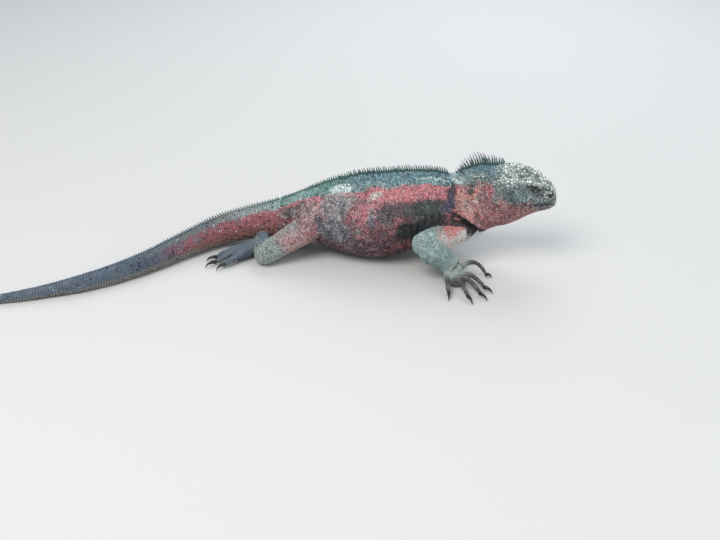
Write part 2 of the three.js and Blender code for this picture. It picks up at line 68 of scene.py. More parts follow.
# All shapes are worked out in millimetres and become metres when a mesh is made.
MM = 0.001
CAD_BOX = [list(corner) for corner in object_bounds()]
SIDES = {"right": -1, "left": 1}

# Trunk and tail from the tip of the tail to the chest:
# x and y of the midline, lowest level, highest level, half width, and how ridged the back is (2 is round).
SPINE = np.array([
    (-606, -222, 0.2, 3, 1.4, 2), (-550, -211, -0.4, 8, 3.4, 1.7), (-492, -195, -0.4, 13, 5, 1.6),
    (-435, -172, -0.4, 19, 7.5, 1.5), (-379, -140, -0.4, 26, 10.5, 1.5), (-329, -97, -0.4, 31, 12.5, 1.5),
    (-285, -45, -0.4, 37, 15, 1.55), (-245, -6, 2, 45, 18, 1.6), (-203, 10, 7, 55, 22, 1.65),
    (-165, 13, 12, 67, 27, 1.7), (-130, 12, 15, 81.5, 34, 1.75), (-98, 11, 14, 97, 43, 1.75),
    (-70, 11, 6, 107.5, 54, 1.75), (-38, 11, -1.4, 116.5, 60.5, 1.75), (-5, 10, -1.6, 122, 61, 1.75),
    (28, 8, 8.5, 127, 57, 1.75), (58, 5, 20, 130, 50.5, 1.75), (82, 2, 27, 129, 44, 1.8),
    (105, 0, 30, 121, 36, 2), (123, 0, 38, 108, 25, 2), (134, 0, 49, 92, 12, 2),
])
WIDEST_AT = 0.42
BELLY_ROUND = 2.2
TAIL_ROOT = 9.4  # the station where the tail leaves the trunk

# Neck rings: x and z of the middle, lean, reach up and down, half width, and sweep of the collar fold
NECK = np.array([
    (114, 86, 29, 47, 45.5, 39, 15), (123, 90, 24, 49, 46.5, 38, 11),
    (136, 96, 13, 50, 46, 33.5, 4), (153, 100, 0, 47.5, 47, 30, 0),
])

# Head rings: x, bottom, top, and the half widths at five levels between them
HEAD = np.array([
    (153, 53, 147.5, 17.5, 28, 30, 22.5, 4), (166, 56, 147.5, 17, 27.5, 29, 23, 7),
    (181, 63, 147, 16, 26, 27, 22, 8.5), (196, 72, 142.5, 15, 24, 23.5, 20.5, 9),
    (209, 79, 136, 14, 21.5, 20, 19, 9), (219, 82.5, 128.5, 12, 19, 17.5, 15, 8),
    (227.5, 86, 120, 9.5, 16, 15, 11.5, 6), (232.5, 90, 113, 6, 11.5, 11.5, 8, 4),
    (234.5, 95.5, 107, 3, 6, 6, 4, 2),
])
HEAD_LEVELS = np.array([0, 0.1, 0.34, 0.58, 0.84, 1, 1.012])

# The mouth's line between the lips, x and z from the corner forward
MOUTH = np.array([(193, 99.5), (200, 100.8), (210, 99.8), (221, 99.2), (232, 96.4), (241, 95)])
NOSTRIL = (228.0, 11.0, 110.5)
EAR = (174.5, 28.6, 115.0)
BROW = (206, 18.6, 127.6)
# The eye's opening and its lids: half lengths and half heights round the middle of the eye
LIDS = {"long": 10.4, "tall": 8.2, "proud": 7.35, "slit": 6.5, "upper": 3.6, "lower": 4.2, "tilt": 0.1}

# Digits: heading from the middle one, reach of pad and of claw, arch of the middle joint, turn outward
HAND_DIGITS = ((53, 52, 59, 34, 7), (16, 58, 69, 18, 3), (0, 64, 76, 18, 1), (-17, 62, 74, 17, -2),
               (-42, 50, 60, 15, -4))
FOOT_DIGITS = ((7, 40, 50, 11, 4), (10, 67, 80, 12, 3), (-1, 75, 89, 13, 0), (-12, 69, 83, 13, -2),
               (-27, 47, 59, 11, -4))
TOE_LIFT = 4.6
ARMS = {
    "right": ((104, -25, 57), (60, -61, 51), (95, -63, 23), -46),
    "left": ((101, 26, 57), (58, 66, 51), (82, 80, 23), 58),
}
ARM = {"root": 19, "joint": 17.5, "bulge": 3.6, "wrist": 15, "palm": 16, "flat": 0.58, "lift": 10, "long": 15,
       "knuckles": 17, "spread": 1.3, "knuckle": 4.7, "toe": 3.3}
LEGS = {
    "right": ((-103, -24, 50), (-164, -52, 16), (-173, -22, 25), -144),
    "left": ((-104, 46, 50), (-141, 98, 17), (-172, 56, 22), 164),
}
LEG = {"root": 21.5, "joint": 15.5, "bulge": 1.5, "wrist": 11, "palm": 12, "flat": 0.72, "lift": 12,
       "long": 25, "knuckles": 17.5, "spread": 0.9, "knuckle": 5.5, "toe": 4.3}

# Spines along the midline: how tall along the nape from its back to its front, and along the back and tail
NAPE = {"from": 98, "to": 161, "count": 21, "wide": 3.1, "thick": 2.1, "lean": 0.5}
NAPE_TALL = (4.5, 11.5, 15, 18.5, 20.5, 18, 15.5, 13, 10)
BACK = {"pitch": 3.3, "wide": 3.0, "thick": 1.8, "lean": 0.5, "shoulder": 10.5, "rump": 3.8, "dip": 3.5}
TAIL = {"pitch": 4.0, "wide": 3.8, "thick": 1.6, "lean": 0.8, "tall": 6.4}

# Where the limbs' roots run softly into the flank: place, reach and rounds of smoothing
SOFT_ROOTS = (
    ((-104, -34, 60), (40, 28, 30), 110), ((-104, 56, 60), (40, 28, 30), 110),
    ((100, -38, 68), (22, 16, 14), 16), ((97, 40, 68), (22, 16, 14), 16),
)

# The camera of the photograph, in millimetres and degrees
CAMERA = {"at": (110.272, -1260.415, 699.667), "azimuth": 6.605, "elevation": 29.929, "lens": 50.0,
          "sensor": 36}


# Numbers that repeat on every run

# These scatter the corners of the noise's grid.
LATTICE = np.array([73856093, 19349663, 83492791])
SEED_STEP, FIRST_MIX, SECOND_MIX = 2654435, 1274126177, 2246822519
BITS_31, BITS_30 = 0x7FFFFFFF, 0x3FFFFFFF


def noise(points, size, seed=0):
    """Smooth value noise between -1 and 1 at points, with lumps of about the given size in mm."""
    cell = np.asarray(points, float) / size + 1000.0 + seed * 17.31
    low = np.floor(cell).astype(np.int64)
    part = cell - low
    part = part * part * (3 - 2 * part)
    total = np.zeros(len(cell))
    for corner in range(8):
        step = np.array([corner & 1, corner >> 1 & 1, corner >> 2 & 1])
        key = (low + step) @ LATTICE + seed * SEED_STEP
        key = (key ^ (key >> 13)) * FIRST_MIX & BITS_31
        key = (key ^ (key >> 15)) * SECOND_MIX & BITS_31
        total += np.prod(np.where(step == 1, part, 1 - part), axis=1) * (key / BITS_30 - 1)
    return total


def rough_noise(points, size, seed=0):
    """Noise of three sizes, the finer ones weaker."""
    finer = noise(points, size / 2.2, seed + 1) / 2
    return (noise(points, size, seed) + finer + noise(points, size / 5, seed + 2) / 4) / 1.4


def smoothstep(value, low, high):
    """0 at low and 1 at high, with soft ends; low may be the larger of the two."""
    share = np.clip((value - low) / (high - low), 0, 1)
    return share * share * (3 - 2 * share)


def window(value, starts, full, fades, ends):
    """1 between full and fades, 0 outside starts and ends."""
    return smoothstep(value, starts, full) * smoothstep(value, ends, fades)


def patches(points, size, seed, low, high, more=0.0):
    """Ragged patches: 1 where rough noise of a size is above high, 0 where it is below low."""
    return smoothstep(rough_noise(points, size, seed) + more, low, high)


def bell(value, middle, width):
    return np.exp(-((value - middle) / width) ** 2)


def ripple(along, length):
    return np.sin(2 * np.pi * along / length)


def unit(vectors):
    return vectors / np.maximum(np.linalg.norm(vectors, axis=-1, keepdims=True), 1e-9)


def run_along(path):
    """Distance from the start of a path to each of its points."""
    return np.concatenate([[0], np.cumsum(np.linalg.norm(np.diff(path, axis=0), axis=1))])


def circle(sides):
    """Cosines and sines of a ring's corners."""
    turn = np.arange(sides) * 2 * np.pi / sides
    return np.cos(turn), np.sin(turn)


def through(knots, at):
    """Points on a Catmull-Rom curve: knots is (K, D) or (N, K, D), at counts knots."""
    knots = np.asarray(knots, float)
    at = np.clip(np.asarray(at, float), 0, knots.shape[-2] - 1)
    first = 2 * knots[..., :1, :] - knots[..., 1:2, :]
    last = 2 * knots[..., -1:, :] - knots[..., -2:-1, :]
    padded = np.concatenate([first, knots, last], axis=-2)
    low = np.minimum(at.astype(int), knots.shape[-2] - 2)
    t = (at - low)[:, None]
    if knots.ndim == 2:
        p0, p1, p2, p3 = (padded[low + k] for k in range(4))
    else:
        rows = np.arange(len(at))
        p0, p1, p2, p3 = (padded[rows, low + k] for k in range(4))
    a = (p2 - p0) / 2
    b = (p3 - p1) / 2
    return (2 * p1 - 2 * p2 + a + b) * t**3 + (3 * p2 - 3 * p1 - 2 * a - b) * t**2 + a * t + p1


# The forms of the body. Each is a function of u along it and v round it, both arrays.

def spine_round(c, s, ridge):
    """The trunk's round in shares: across and up, from the cosine and sine of the turn."""
    across = np.sign(c) * np.abs(c) ** (2 / np.where(s > 0, ridge, BELLY_ROUND))
    up = np.sign(s) * np.abs(s) ** np.where(s > 0, 1, 2 / BELLY_ROUND)
    return across, up


def spine_point(u, v, grow=0.0):
    forward = unit(through(SPINE, u + 0.02)[:, :2] - through(SPINE, u - 0.02)[:, :2])
    turn = 2 * np.pi * v
    c, s = np.cos(turn), np.sin(turn)
    x, y, bottom, top, half, ridge = through(SPINE, u).T
    level = bottom + (top - bottom) * WIDEST_AT
    across, up = spine_round(c, s, ridge)
    side = across * (half + grow)
    rise = up * (np.where(s > 0, top - level, level - bottom) + grow)
    return np.stack([x - forward[:, 1] * side, y + forward[:, 0] * side, level + rise], axis=1)


def neck_point(u, v, grow=0.0):
    x, z, lean, up, down, half, sweep = through(NECK, u).T
    lean = np.radians(lean)
    turn = 2 * np.pi * v
    c, s = np.cos(turn), np.sin(turn)
    rise = s * (np.where(s > 0, up, down) + grow)
    height = np.clip((rise + down) / (up + down), 0, 1)
    swept = sweep * np.sin(np.pi * height**2) ** 2
    return np.stack([x - swept - np.sin(lean) * rise, c * (half + grow), z + np.cos(lean) * rise], axis=1)


def head_point(u, v, grow=0.0):
    """v runs from under the chin (0) up the left side, over the crown (0.5) and down the right side."""
    here = through(HEAD, u)
    tall = here[:, 2] - here[:, 1]
    closed = np.zeros((len(here), 1))
    wide = np.concatenate([closed, here[:, 3:] + grow, closed], axis=1)
    high = here[:, 1:2] + tall[:, None] * HEAD_LEVELS + grow * (HEAD_LEVELS >= 1) - grow * (HEAD_LEVELS == 0)
    share = 1 - np.abs(1 - 2 * v)
    ring = through(np.stack([wide, high], axis=2), share * (len(HEAD_LEVELS) - 1))
    side = np.where(v > 0.5, -1, 1)
    return np.stack([here[:, 0], side * ring[:, 0], ring[:, 1]], axis=1)


def limb_point(start, end, r0, r1, bulge=0.0, flat=1.0):
    """A straight limb: u from 0 to 1 between its round ends, which run on to -1 and 2."""
    a, b = np.array(start, float), np.array(end, float)
    forward = unit(b - a)
    side = unit(np.cross((0, 0, 1), forward))
    up = np.cross(forward, side)
    length = np.linalg.norm(b - a)

    def point(u, v, grow=0.0):
        inner = np.clip(u, 0, 1)
        radius = r0 + (r1 - r0) * inner + bulge * np.sin(np.pi * inner**0.7) ** 2 + grow
        over = np.clip(np.maximum(-u, u - 1), 0, 1)
        across = radius * np.sqrt(1 - over**2)
        along = length * inner + radius * over * np.where(u < 0, -1, 1)
        turn = 2 * np.pi * v
        return (a + forward * along[:, None] + side * (np.cos(turn) * across)[:, None]
                + up * (np.sin(turn) * across * flat)[:, None])

    return point


def bent_point(root, middle, end, radius_at, flat=1.0):
    """A bent digit or claw along a curve; u from 0 to 1, and on to 2 over its round tip."""
    root, middle, end = (np.array(p, float) for p in (root, middle, end))

    def point(u, v, grow=0.0):
        inner = np.clip(u, 0, 1)
        over = np.clip(u - 1, 0, 1)
        t = inner[:, None]
        centre = root * (1 - t) ** 2 + middle * 2 * t * (1 - t) + end * t**2
        forward = unit((middle - root) * (1 - t) + (end - middle) * t)
        side = unit(np.cross((0, 0, 1), forward))
        up = np.cross(forward, side)
        radius = radius_at(inner) + grow
        across = radius * np.sqrt(1 - over**2)
        turn = 2 * np.pi * v
        return (centre + forward * (radius * over)[:, None] + side * (np.sin(turn) * across)[:, None]
                + up * (np.cos(turn) * across * flat)[:, None])

    return point


def toward(wrist, heading, degrees, distance, z):
    """The place at a distance from a wrist or ankle, some degrees off its heading, at level z."""
    turn = math.radians(heading + degrees)
    return (wrist[0] + math.cos(turn) * distance, wrist[1] + math.sin(turn) * distance, z)


def tube_faces(rings, sides):
    """Faces of a tube of rings that is closed at both ends."""
    faces = []
    for r in range(rings - 1):
        for i in range(sides):
            a, b = r * sides + i, r * sides + (i + 1) % sides
            faces.append((a, b, b + sides, a + sides))
    last = (rings - 1) * sides
    return [*faces, tuple(range(sides))[::-1], tuple(range(last, last + sides))]


class Form:
    """One smooth form of the body, the region whose scales it carries, and its rings and sides."""

    def __init__(self, name, region, point, u_range, rings, sides, length):
        self.name = name
        self.region = region
        self.point = point
        self.u_range = u_range
        self.rings = rings
        self.sides = sides
        self.length = length

    def mesh(self, grow):
        """Closed surface: vertices and faces."""
        u = np.repeat(np.linspace(*self.u_range, self.rings), self.sides)
        v = np.tile(np.arange(self.sides) / self.sides, self.rings)
        return self.point(u, v, grow), tube_faces(self.rings, self.sides)


LIMBS = {"arm": (ARMS, ARM, HAND_DIGITS), "leg": (LEGS, LEG, FOOT_DIGITS)}
LIMB_PARTS = {"arm": ("upper_arm", "forearm", "hand"), "leg": ("thigh", "shank", "foot")}
# How far u runs over the round ends of a limb, and over the tip of a digit or claw
LIMB_RUN = (-0.96, 1.96)
DIGIT_RUN = (0, 1.9)


def limb_forms(side, kind):
    """The upper limb, lower limb, palm and digits of one arm or leg."""
    places, sizes, digits = LIMBS[kind]
    start, joint, wrist, heading = places[side]
    mirror = -SIDES[side]
    palm_end = toward(wrist, heading, -2 * mirror, sizes["long"], sizes["lift"])
    upper = limb_point(start, joint, sizes["root"], sizes["joint"], flat=0.96)
    lower = limb_point(joint, wrist, sizes["joint"] - 1.2, sizes["wrist"], sizes["bulge"])
    palm = limb_point(wrist, palm_end, sizes["wrist"] - 1, sizes["palm"], flat=sizes["flat"])
    upper_name, lower_name, end_name = (f"{side}_{part}" for part in LIMB_PARTS[kind])
    forms = [
        Form(upper_name, kind, upper, LIMB_RUN, 40, 40, math.dist(start, joint)),
        Form(lower_name, kind, lower, LIMB_RUN, 44, 36, math.dist(joint, wrist)),
        Form(end_name, "foot", palm, LIMB_RUN, 26, 30, math.dist(wrist, palm_end)),
    ]

    def digit_radius(t):
        """Narrows to the toe pad, with a slight swelling at each joint."""
        radius = sizes["knuckle"] + (sizes["toe"] - sizes["knuckle"]) * t
        return radius * (1 + 0.035 * np.cos(t * np.pi * 5)) * (1 - 0.22 * smoothstep(t, 0.86, 1))

    for number, (turn, reach, _, arch, turned) in enumerate(digits):
        at = mirror * turn
        root = toward(wrist, heading, at * sizes["spread"], sizes["knuckles"], sizes["lift"] + 3.5)
        halfway = (sizes["knuckles"] + reach) * 0.52
        middle = toward(wrist, heading, mirror * (turn + turned), halfway, arch + 4)
        end = toward(wrist, heading, at, reach, TOE_LIFT)
        digit = bent_point(root, middle, end, digit_radius)
        name = f"{end_name}_digit_{number + 1}"
        forms.append(Form(name, "digit", digit, DIGIT_RUN, 30, 18, math.dist(root, end) * 1.12))
    return forms


def body_forms():
    forms = [
        Form("trunk", "trunk", spine_point, (TAIL_ROOT, len(SPINE) - 1), 90, 96, 300),
        Form("tail", "tail", spine_point, (0, TAIL_ROOT), 150, 48, 560),
        Form("neck", "neck", neck_point, (0, len(NECK) - 1), 26, 90, 45),
        Form("head", "head", head_point, (0, len(HEAD) - 1), 60, 90, 85),
    ]
    for side in SIDES:
        forms += limb_forms(side, "arm")
        forms += limb_forms(side, "leg")
    return forms

# Colours: a few named hides, in linear light

def linear(code):
    """A colour code such as 75919a as linear red, green and blue."""
    parts = [int(code[k:k + 2], 16) / 255 for k in (0, 2, 4)]
    return tuple(p / 12.92 if p <= 0.04045 else ((p + 0.055) / 1.055) ** 2.4 for p in parts)


PALETTE = {
    "back_teal": ("Back teal", "6f9199"),
    "rump_teal": ("Rump teal", "6f9490"),
    "aqua": ("Pale aqua", "93adab"),
    "mint": ("Mint patch", "cfe2e0"),
    "cream": ("Cream", "cfc8c2"),
    "coral": ("Coral band", "c78288"),
    "rose": ("Rose flank", "a5686f"),
    "wine": ("Lower flank", "6a4a52"),
    "crimson": ("Belly edge", "8a4650"),
    "belly": ("Belly", "5d4a4a"),
    "beige": ("Beige speckle", "a6a5a6"),
    "umber": ("Brown grey", "635b60"),
    "black_green": ("Black green", "22292c"),
    "green_grey": ("Dark green grey", "4b5453"),
    "navy": ("Navy", "4a5166"),
    "slate": ("Slate", "707780"),
    "blue_slate": ("Blue slate", "56626c"),
    "nape_teal": ("Nape teal", "718e96"),
    "neck_green": ("Neck grey green", "7d8f8c"),
    "salmon": ("Salmon neck", "cd958c"),
    "throat": ("Throat", "ab7376"),
    "crown": ("Crown", "c2ccc6"),
    "cheek": ("Cheek", "7c8585"),
    "ear_teal": ("Ear zone", "677a80"),
    "lips": ("Lips", "4a5256"),
    "chin": ("Chin", "988a86"),
    "forearm": ("Forearm mint", "94aba8"),
    "hand": ("Hand grey", "a9b5ae"),
    "digit": ("Digit grey", "565858"),
    "thigh": ("Thigh pink", "bd9898"),
    "knee": ("Knee grey", "96a19f"),
    "foot": ("Foot slate", "66737f"),
    "tail_pale": ("Tail base pale", "a3aaa9"),
    "tail_red": ("Tail red", "a0626a"),
    "tail_brown": ("Tail brown red", "8a6157"),
    "tail_grey": ("Tail grey", "747b7b"),
    "tail_navy": ("Tail navy", "50576a"),
    "tail_blue": ("Tail slate blue", "5c6b7b"),
    "tail_under": ("Tail underside", "7b7a75"),
    "shoulder": ("Shoulder red", "b4625f"),
    "spine_teal": ("Spine teal", "3a5856"),
    "spine_green": ("Rump spine green", "47695d"),
    "spine_tip": ("Spine tip", "8b8c95"),
    "horn": ("Claw horn", "2a221d"),
}


def side_height(u, v):
    """Degrees up the side of the trunk or tail: 0 at the widest level, 90 at the ridge."""
    turn = 2 * np.pi * v
    across, up = spine_round(np.abs(np.cos(turn)), np.sin(turn), through(SPINE, u)[:, 5])
    return np.degrees(np.arctan2(up, across))


# Bands along the trunk: height up its side in degrees, and the hide colour there
TRUNK_BANDS = ((-90, "belly"), (-50, "belly"), (-34, "wine"), (-10, "wine"), (12, "rose"), (44, "rose"),
               (58, "coral"))
# Marks: hide colour, place along the body and height up its side in degrees (or level above the floor on the
# neck and head), half length, half height, strength
TRUNK_MARKS = (
    ("crimson", 16, -27, 34, 5, 0.8),
    ("rose", -28, 16, 14, 16, 0.9),
    ("coral", -24, 33, 15, 17, 0.85),
    ("coral", -36, 27, 6, 5, 0.9),
    ("coral", 46, 50, 78, 13, 1.0),
    ("coral", 14, 35, 9, 12, 0.5),
    ("beige", -48, 48, 12, 12, 0.75),
    ("beige", -68, 40, 20, 24, 0.9),
    ("slate", -70, 2, 25, 19, 0.9),
    ("slate", -58, 39, 5, 12, 0.8),
    ("blue_slate", -90, 20, 5, 15, 0.9),
    ("thigh", -103, 40, 18, 20, 0.9),
    ("umber", -118, 50, 9, 9, 0.75),
    ("beige", -108, 30, 9, 8, 0.5),
    ("coral", -91, 54, 8, 5, 0.7),
    ("umber", -40, 12, 10, 12, 0.55),
    ("wine", -6, 2, 16, 9, 0.5),
    ("umber", 8, 24, 15, 13, 0.95),
    ("black_green", 10, 22, 4, 3.5, 0.6),
    ("navy", -14, 20, 5, 8, 0.9),
    ("umber", 28, 27, 10, 10, 0.8),
    # Black-green behind the arm and on the chest: the hide's dark green, deepened as painted shadow where the
    # arm and the collar's fold shade it.
    ("black_green", 35, -1, 19, 15, 1.0),
    ("black_green", 68, 6, 24, 18, 0.95),
    ("green_grey", 52, 25, 22, 12, 0.95),
    ("black_green", 46, 28, 8, 5, 0.5),
    ("green_grey", 72, 27, 16, 12, 0.9),
    ("navy", 89, 31, 9, 13, 0.95),
    ("black_green", 91, 46, 6, 8, 0.85),
    ("cream", -12, 52, 9, 5, 0.9),
    ("cream", 18, 61, 8, 3, 0.5),
    ("umber", -135, 39, 13, 12, 0.85),
    ("black_green", -132, 28, 6, 8, 0.6),
    ("tail_red", -148, 18, 14, 16, 0.9),
)
BACK_MARKS = (("mint", -61, 68, 16, 9, 1.0), ("mint", 70, 72, 24, 3.5, 0.5), ("aqua", -20, 70, 26, 4, 0.55),
              ("aqua", -122, 72, 22, 12, 0.75))
# The line, x and degrees up the side, where the pale back ends
BACK_EDGE = np.array([(-165, 56), (-121, 62), (-95, 60), (-74, 59), (-40, 58), (-20, 62), (33, 62), (88, 61),
                      (134, 60)])
# The lines, x and level, where the pale top of the neck and head ends and where the collar's edge hangs
PALE_EDGE = np.array([(84, 118), (100, 125), (123, 126), (140, 127), (150, 120), (158, 112), (167, 104),
                      (180, 101), (192, 103), (202, 101), (214, 96), (238, 94)])
COLLAR_EDGE = np.array([(84, 93), (94, 89.5), (106, 86), (117, 77.5), (128, 68.5), (140, 57.5), (150, 49)])
NECK_MARKS = (
    ("mint", 98, 129, 12, 4, 0.85),
    ("mint", 126, 137, 12, 2, 0.5),
    ("nape_teal", 104, 134, 10, 5, 0.6),
    ("black_green", 93, 117, 7, 8, 0.85),
    ("coral", 103, 121, 5, 4, 0.7),
    ("green_grey", 119, 122, 4, 8, 0.85),
    ("navy", 90, 101, 8, 14, 0.95),
    ("coral", 127, 124, 2.5, 8, 0.55),
    ("coral", 144, 120, 6, 9, 0.5),
    ("cream", 128, 107, 3.5, 8, 0.55),
    ("umber", 133, 98, 3, 4, 0.5),
    ("neck_green", 152, 112, 5, 12, 0.6),
    ("cream", 112, 101, 7, 8, 0.2),
    ("umber", 138, 112, 2.5, 10, 0.6),
    ("cream", 119, 96, 5, 6, 0.3),
    ("cream", 140, 88, 7, 5, 0.2),
    ("wine", 128, 86, 2.5, 8, 0.45),
    ("wine", 151, 92, 3, 9, 0.35),
)
HEAD_MARKS = (
    ("ear_teal", 171, 115, 8, 9, 0.8),
    ("ear_teal", 184, 124, 9, 6, 0.5),
    ("aqua", 182, 116.5, 5, 6, 0.9),
    ("aqua", 192, 111, 8, 5, 0.45),
    ("chin", 190, 99, 15, 4.5, 0.7),
    # At the nostril: black-green as painted shade in its pit.
    ("black_green", 228.6, 110.6, 3.2, 3.0, 0.9),
    ("crown", 206, 130.5, 6.5, 3, 1.0),
    ("green_grey", 204.6, 120.4, 8.2, 5.0, 0.85),
    # Under the brow and along the mouth's line: black-green as painted shade in the groove and in the crease.
    ("black_green", 200.5, 125.4, 8.5, 1.6, 0.95),
    ("black_green", 219, 98.4, 13, 1.7, 0.8),
    ("crown", 229, 119, 5, 4, 0.9),
    ("lips", 217, 99.8, 12, 4, 0.95),
    ("lips", 205, 99.5, 6, 2.5, 0.8),
    ("black_green", 214, 124, 1.6, 1.2, 0.8),
    ("black_green", 222, 119, 1.4, 1.2, 0.8),
    ("black_green", 208, 134, 1.6, 1.2, 0.7),
    ("black_green", 196, 131, 1.6, 1.4, 0.8),
)


def fade(base, colour, mask):
    return base + (colour - base) * np.clip(mask, 0, 1)[:, None]


class Paint:
    """The hide's colours at some points, laid over one another by their names in the palette."""

    def __init__(self, colours, points, base):
        self.colours = colours
        self.points = points
        self.rgb = np.tile(colours[base], (len(points), 1))

    def over(self, layer, mask, tint=1.0):
        """Lay a named colour, or another paint, over this one as far as the mask says."""
        colour = layer.rgb if isinstance(layer, Paint) else self.colours[layer]
        self.rgb = fade(self.rgb, colour * tint, mask)
        return self

    def bands(self, values, stops):
        """Colours between stops of (value, colour name), blended softly."""
        at = np.array([stop for stop, _ in stops], float)
        table = np.array([self.colours[name] for _, name in stops])
        self.rgb = np.stack([np.interp(values, at, table[:, k]) for k in range(3)], axis=1)
        return self

    def marks(self, marks, along, height, warp):
        """Marks whose outlines wander and break up scale by scale."""
        points = self.points
        along = along + warp[0] * (rough_noise(points, 16, 3) + 0.35 * noise(points, 3.0, 51))
        height = height + warp[1] * (rough_noise(points, 14, 9) + 0.35 * noise(points, 3.0, 53))
        for name, x, h, long, tall, strength in marks:
            far = np.hypot((along - x) / long, (height - h) / tall)
            self.over(name, smoothstep(far, 1.25, 0.75) * strength)
        return self


def front_hide(colours, points):
    """The neck, throat and head: pale above, red below, and dark under the collar's edge."""
    x, _, z = points.T
    rough = rough_noise(points, 9, 2) + 0.5 * noise(points, 2.6, 57)
    # Pale top: nape and neck, and then the head
    head = Paint(colours, points, "cheek")
    head.bands(z + 2.5 * rough, ((96, "cheek"), (122, "cheek"), (131, "crown"), (150, "crown")))
    head.over("crown", smoothstep(x, 212, 224) * smoothstep(z, 100, 108) * 0.55)
    top = Paint(colours, points, "neck_green")
    top.over("nape_teal", smoothstep(z + 3 * rough, 136, 142))
    top.over(head, smoothstep(x + 4 * rough, 146, 166))
    # Red side of the neck and throat, beige under the chin, and the pale top over it
    paint = Paint(colours, points, "salmon")
    paint.over("throat", smoothstep(x + 5 * rough, 118, 140))
    paint.over("wine", 0.5 * patches(points, 6, 91, 0.12, 0.5, 0.3 * rough))
    paint.over("cream", 0.24 * patches(points, 5, 93, 0.15, 0.5, 0.3 * rough))
    paint.over("chin", smoothstep(x + 3 * rough, 196, 212))
    paint.over(top, smoothstep(z - (np.interp(x, *PALE_EDGE.T) + 3.4 * rough), -2, 2))
    paint.marks(NECK_MARKS, x, z, (3, 3))
    paint.marks(HEAD_MARKS, x, z, (1.2, 1.0))
    # Along the collar's edge a pink rim with a painted highlight, and under it dark green hide deepened by
    # painted shadow
    below = np.interp(x, *COLLAR_EDGE.T) - z
    paint.over("coral", bell(below, -2.5, 2.4) * 0.6 * window(x, 90, 98, 136, 146))
    return paint.over("black_green", smoothstep(below, -0.4, 0.8) * smoothstep(x, 152, 146) * 0.92)


def trunk_hide(colours, points, form, u, v, grain, fine):
    x = points[:, 0]
    height = side_height(u, v)
    low = smoothstep(height, 54, 44)
    paint = Paint(colours, points, "belly")
    paint.bands(height + 7 * rough_noise(points, 20, 5) + 3 * fine, TRUNK_BANDS)
    paint.marks(TRUNK_MARKS, x, height, (5, 5))
    paint.over("beige", 0.6 * low * smoothstep(x, 10, -20) * patches(points, 5, 83, 0.1, 0.45))
    paint.over("umber", 0.6 * low * patches(points, 6, 81, 0.05, 0.4) * smoothstep(x, 30, 10))
    back = Paint(colours, points, "back_teal")
    back.over("rump_teal", smoothstep(x, -30, -80))
    back.over("aqua", 0.35 * smoothstep(height, 74, 62))
    back.over("spine_teal", 0.45 * patches(points, 10, 37, 0.2, 0.6))
    back.marks(BACK_MARKS, x, height, (4, 3))
    edge = np.interp(x, *BACK_EDGE.T) + 4 * rough_noise(points, 11, 31) + 2 * fine
    paint.over(back, smoothstep(height - edge, -2.5, 2.5))
    return paint.over(front_hide(colours, points), smoothstep(x + 3 * grain, 88, 97))


def tail_hide(colours, points, form, u, v, grain, fine):
    height = side_height(u, v)
    lie = u + 0.3 * rough_noise(points, 24, 4)
    red = Paint(colours, points, "tail_brown")
    red.over("tail_red", smoothstep(height + 8 * grain, -6, 22))
    paint = Paint(colours, points, "tail_blue")
    paint.over("tail_navy", smoothstep(lie, 4.3, 5.1))
    paint.over("tail_blue", 0.6 * smoothstep(noise(points * (0.35, 0.35, 1), 3, 87), 0, 0.6))
    paint.over(red, smoothstep(lie + 0.3 * fine, 5.1, 6.3))
    upper = Paint(colours, points, "tail_blue")
    upper.over("tail_grey", smoothstep(lie, 4.6, 6.0))
    upper.over("tail_pale", smoothstep(lie, 6.4, 8.6))
    upper.over("rump_teal", smoothstep(height, 66, 82) * 0.5 * smoothstep(lie, 7, 8.5))
    upper.over("aqua", smoothstep(lie, 8.4, 9.6) * 0.8)
    paint.over(upper, smoothstep(height + 7 * rough_noise(points, 12, 6) + 4 * fine, 48, 60))
    paint.over("tail_under", smoothstep(height + 5 * grain, 4, -9) * smoothstep(lie, 7, 5.8))
    paint.over("tail_under", smoothstep(height, -20, -45))
    return paint.over("slate", 0.5 * patches(points, 17, 8, 0.15, 0.5) * smoothstep(lie, 8.5, 7))


def arm_hide(colours, points, form, u, v, grain, fine):
    x, _, z = points.T
    paint = Paint(colours, points, "forearm")
    if form.name.endswith("upper_arm"):
        pink = Paint(colours, points, "cream")
        pink.over("coral", smoothstep(grain + 0.4 * fine, -0.1, 0.35) * 0.5)
        pink.over("shoulder", 0.85 * smoothstep(z + 7 * rough_noise(points, 6, 95) + 3 * fine, 62, 68))
        paint.over(pink, smoothstep(u + 0.22 * rough_noise(points, 12, 4) + 0.08 * fine, 0.8, 0.4), 1.18)
        # Where the arm meets the chest: the hide's dark green, deepened as painted shade in the armpit.
        paint.over("black_green", smoothstep(u + 0.1 * grain, 0.0, -0.15))
        paint.over("cream", 0.55 * smoothstep(z, 60, 50) * smoothstep(u + 0.1 * grain, 0.7, 0.45), 1.15)
    else:
        paint.over("green_grey", 0.35 * smoothstep(z + 6 * grain, 46, 26) * smoothstep(u, 1.1, 0.6))
        paint.over("hand", smoothstep(u, 0.8, 1.3))
        paint.over("digit", 0.75 * bell(u + 0.03 * grain, 1.4, 0.08))
    flecks = patches(points, 4, 97, 0.1, 0.45, 0.3 * fine)
    return paint.over("mint", 0.55 * flecks * smoothstep(z, 42, 54) * (z < 75) * smoothstep(x, 84, 72))


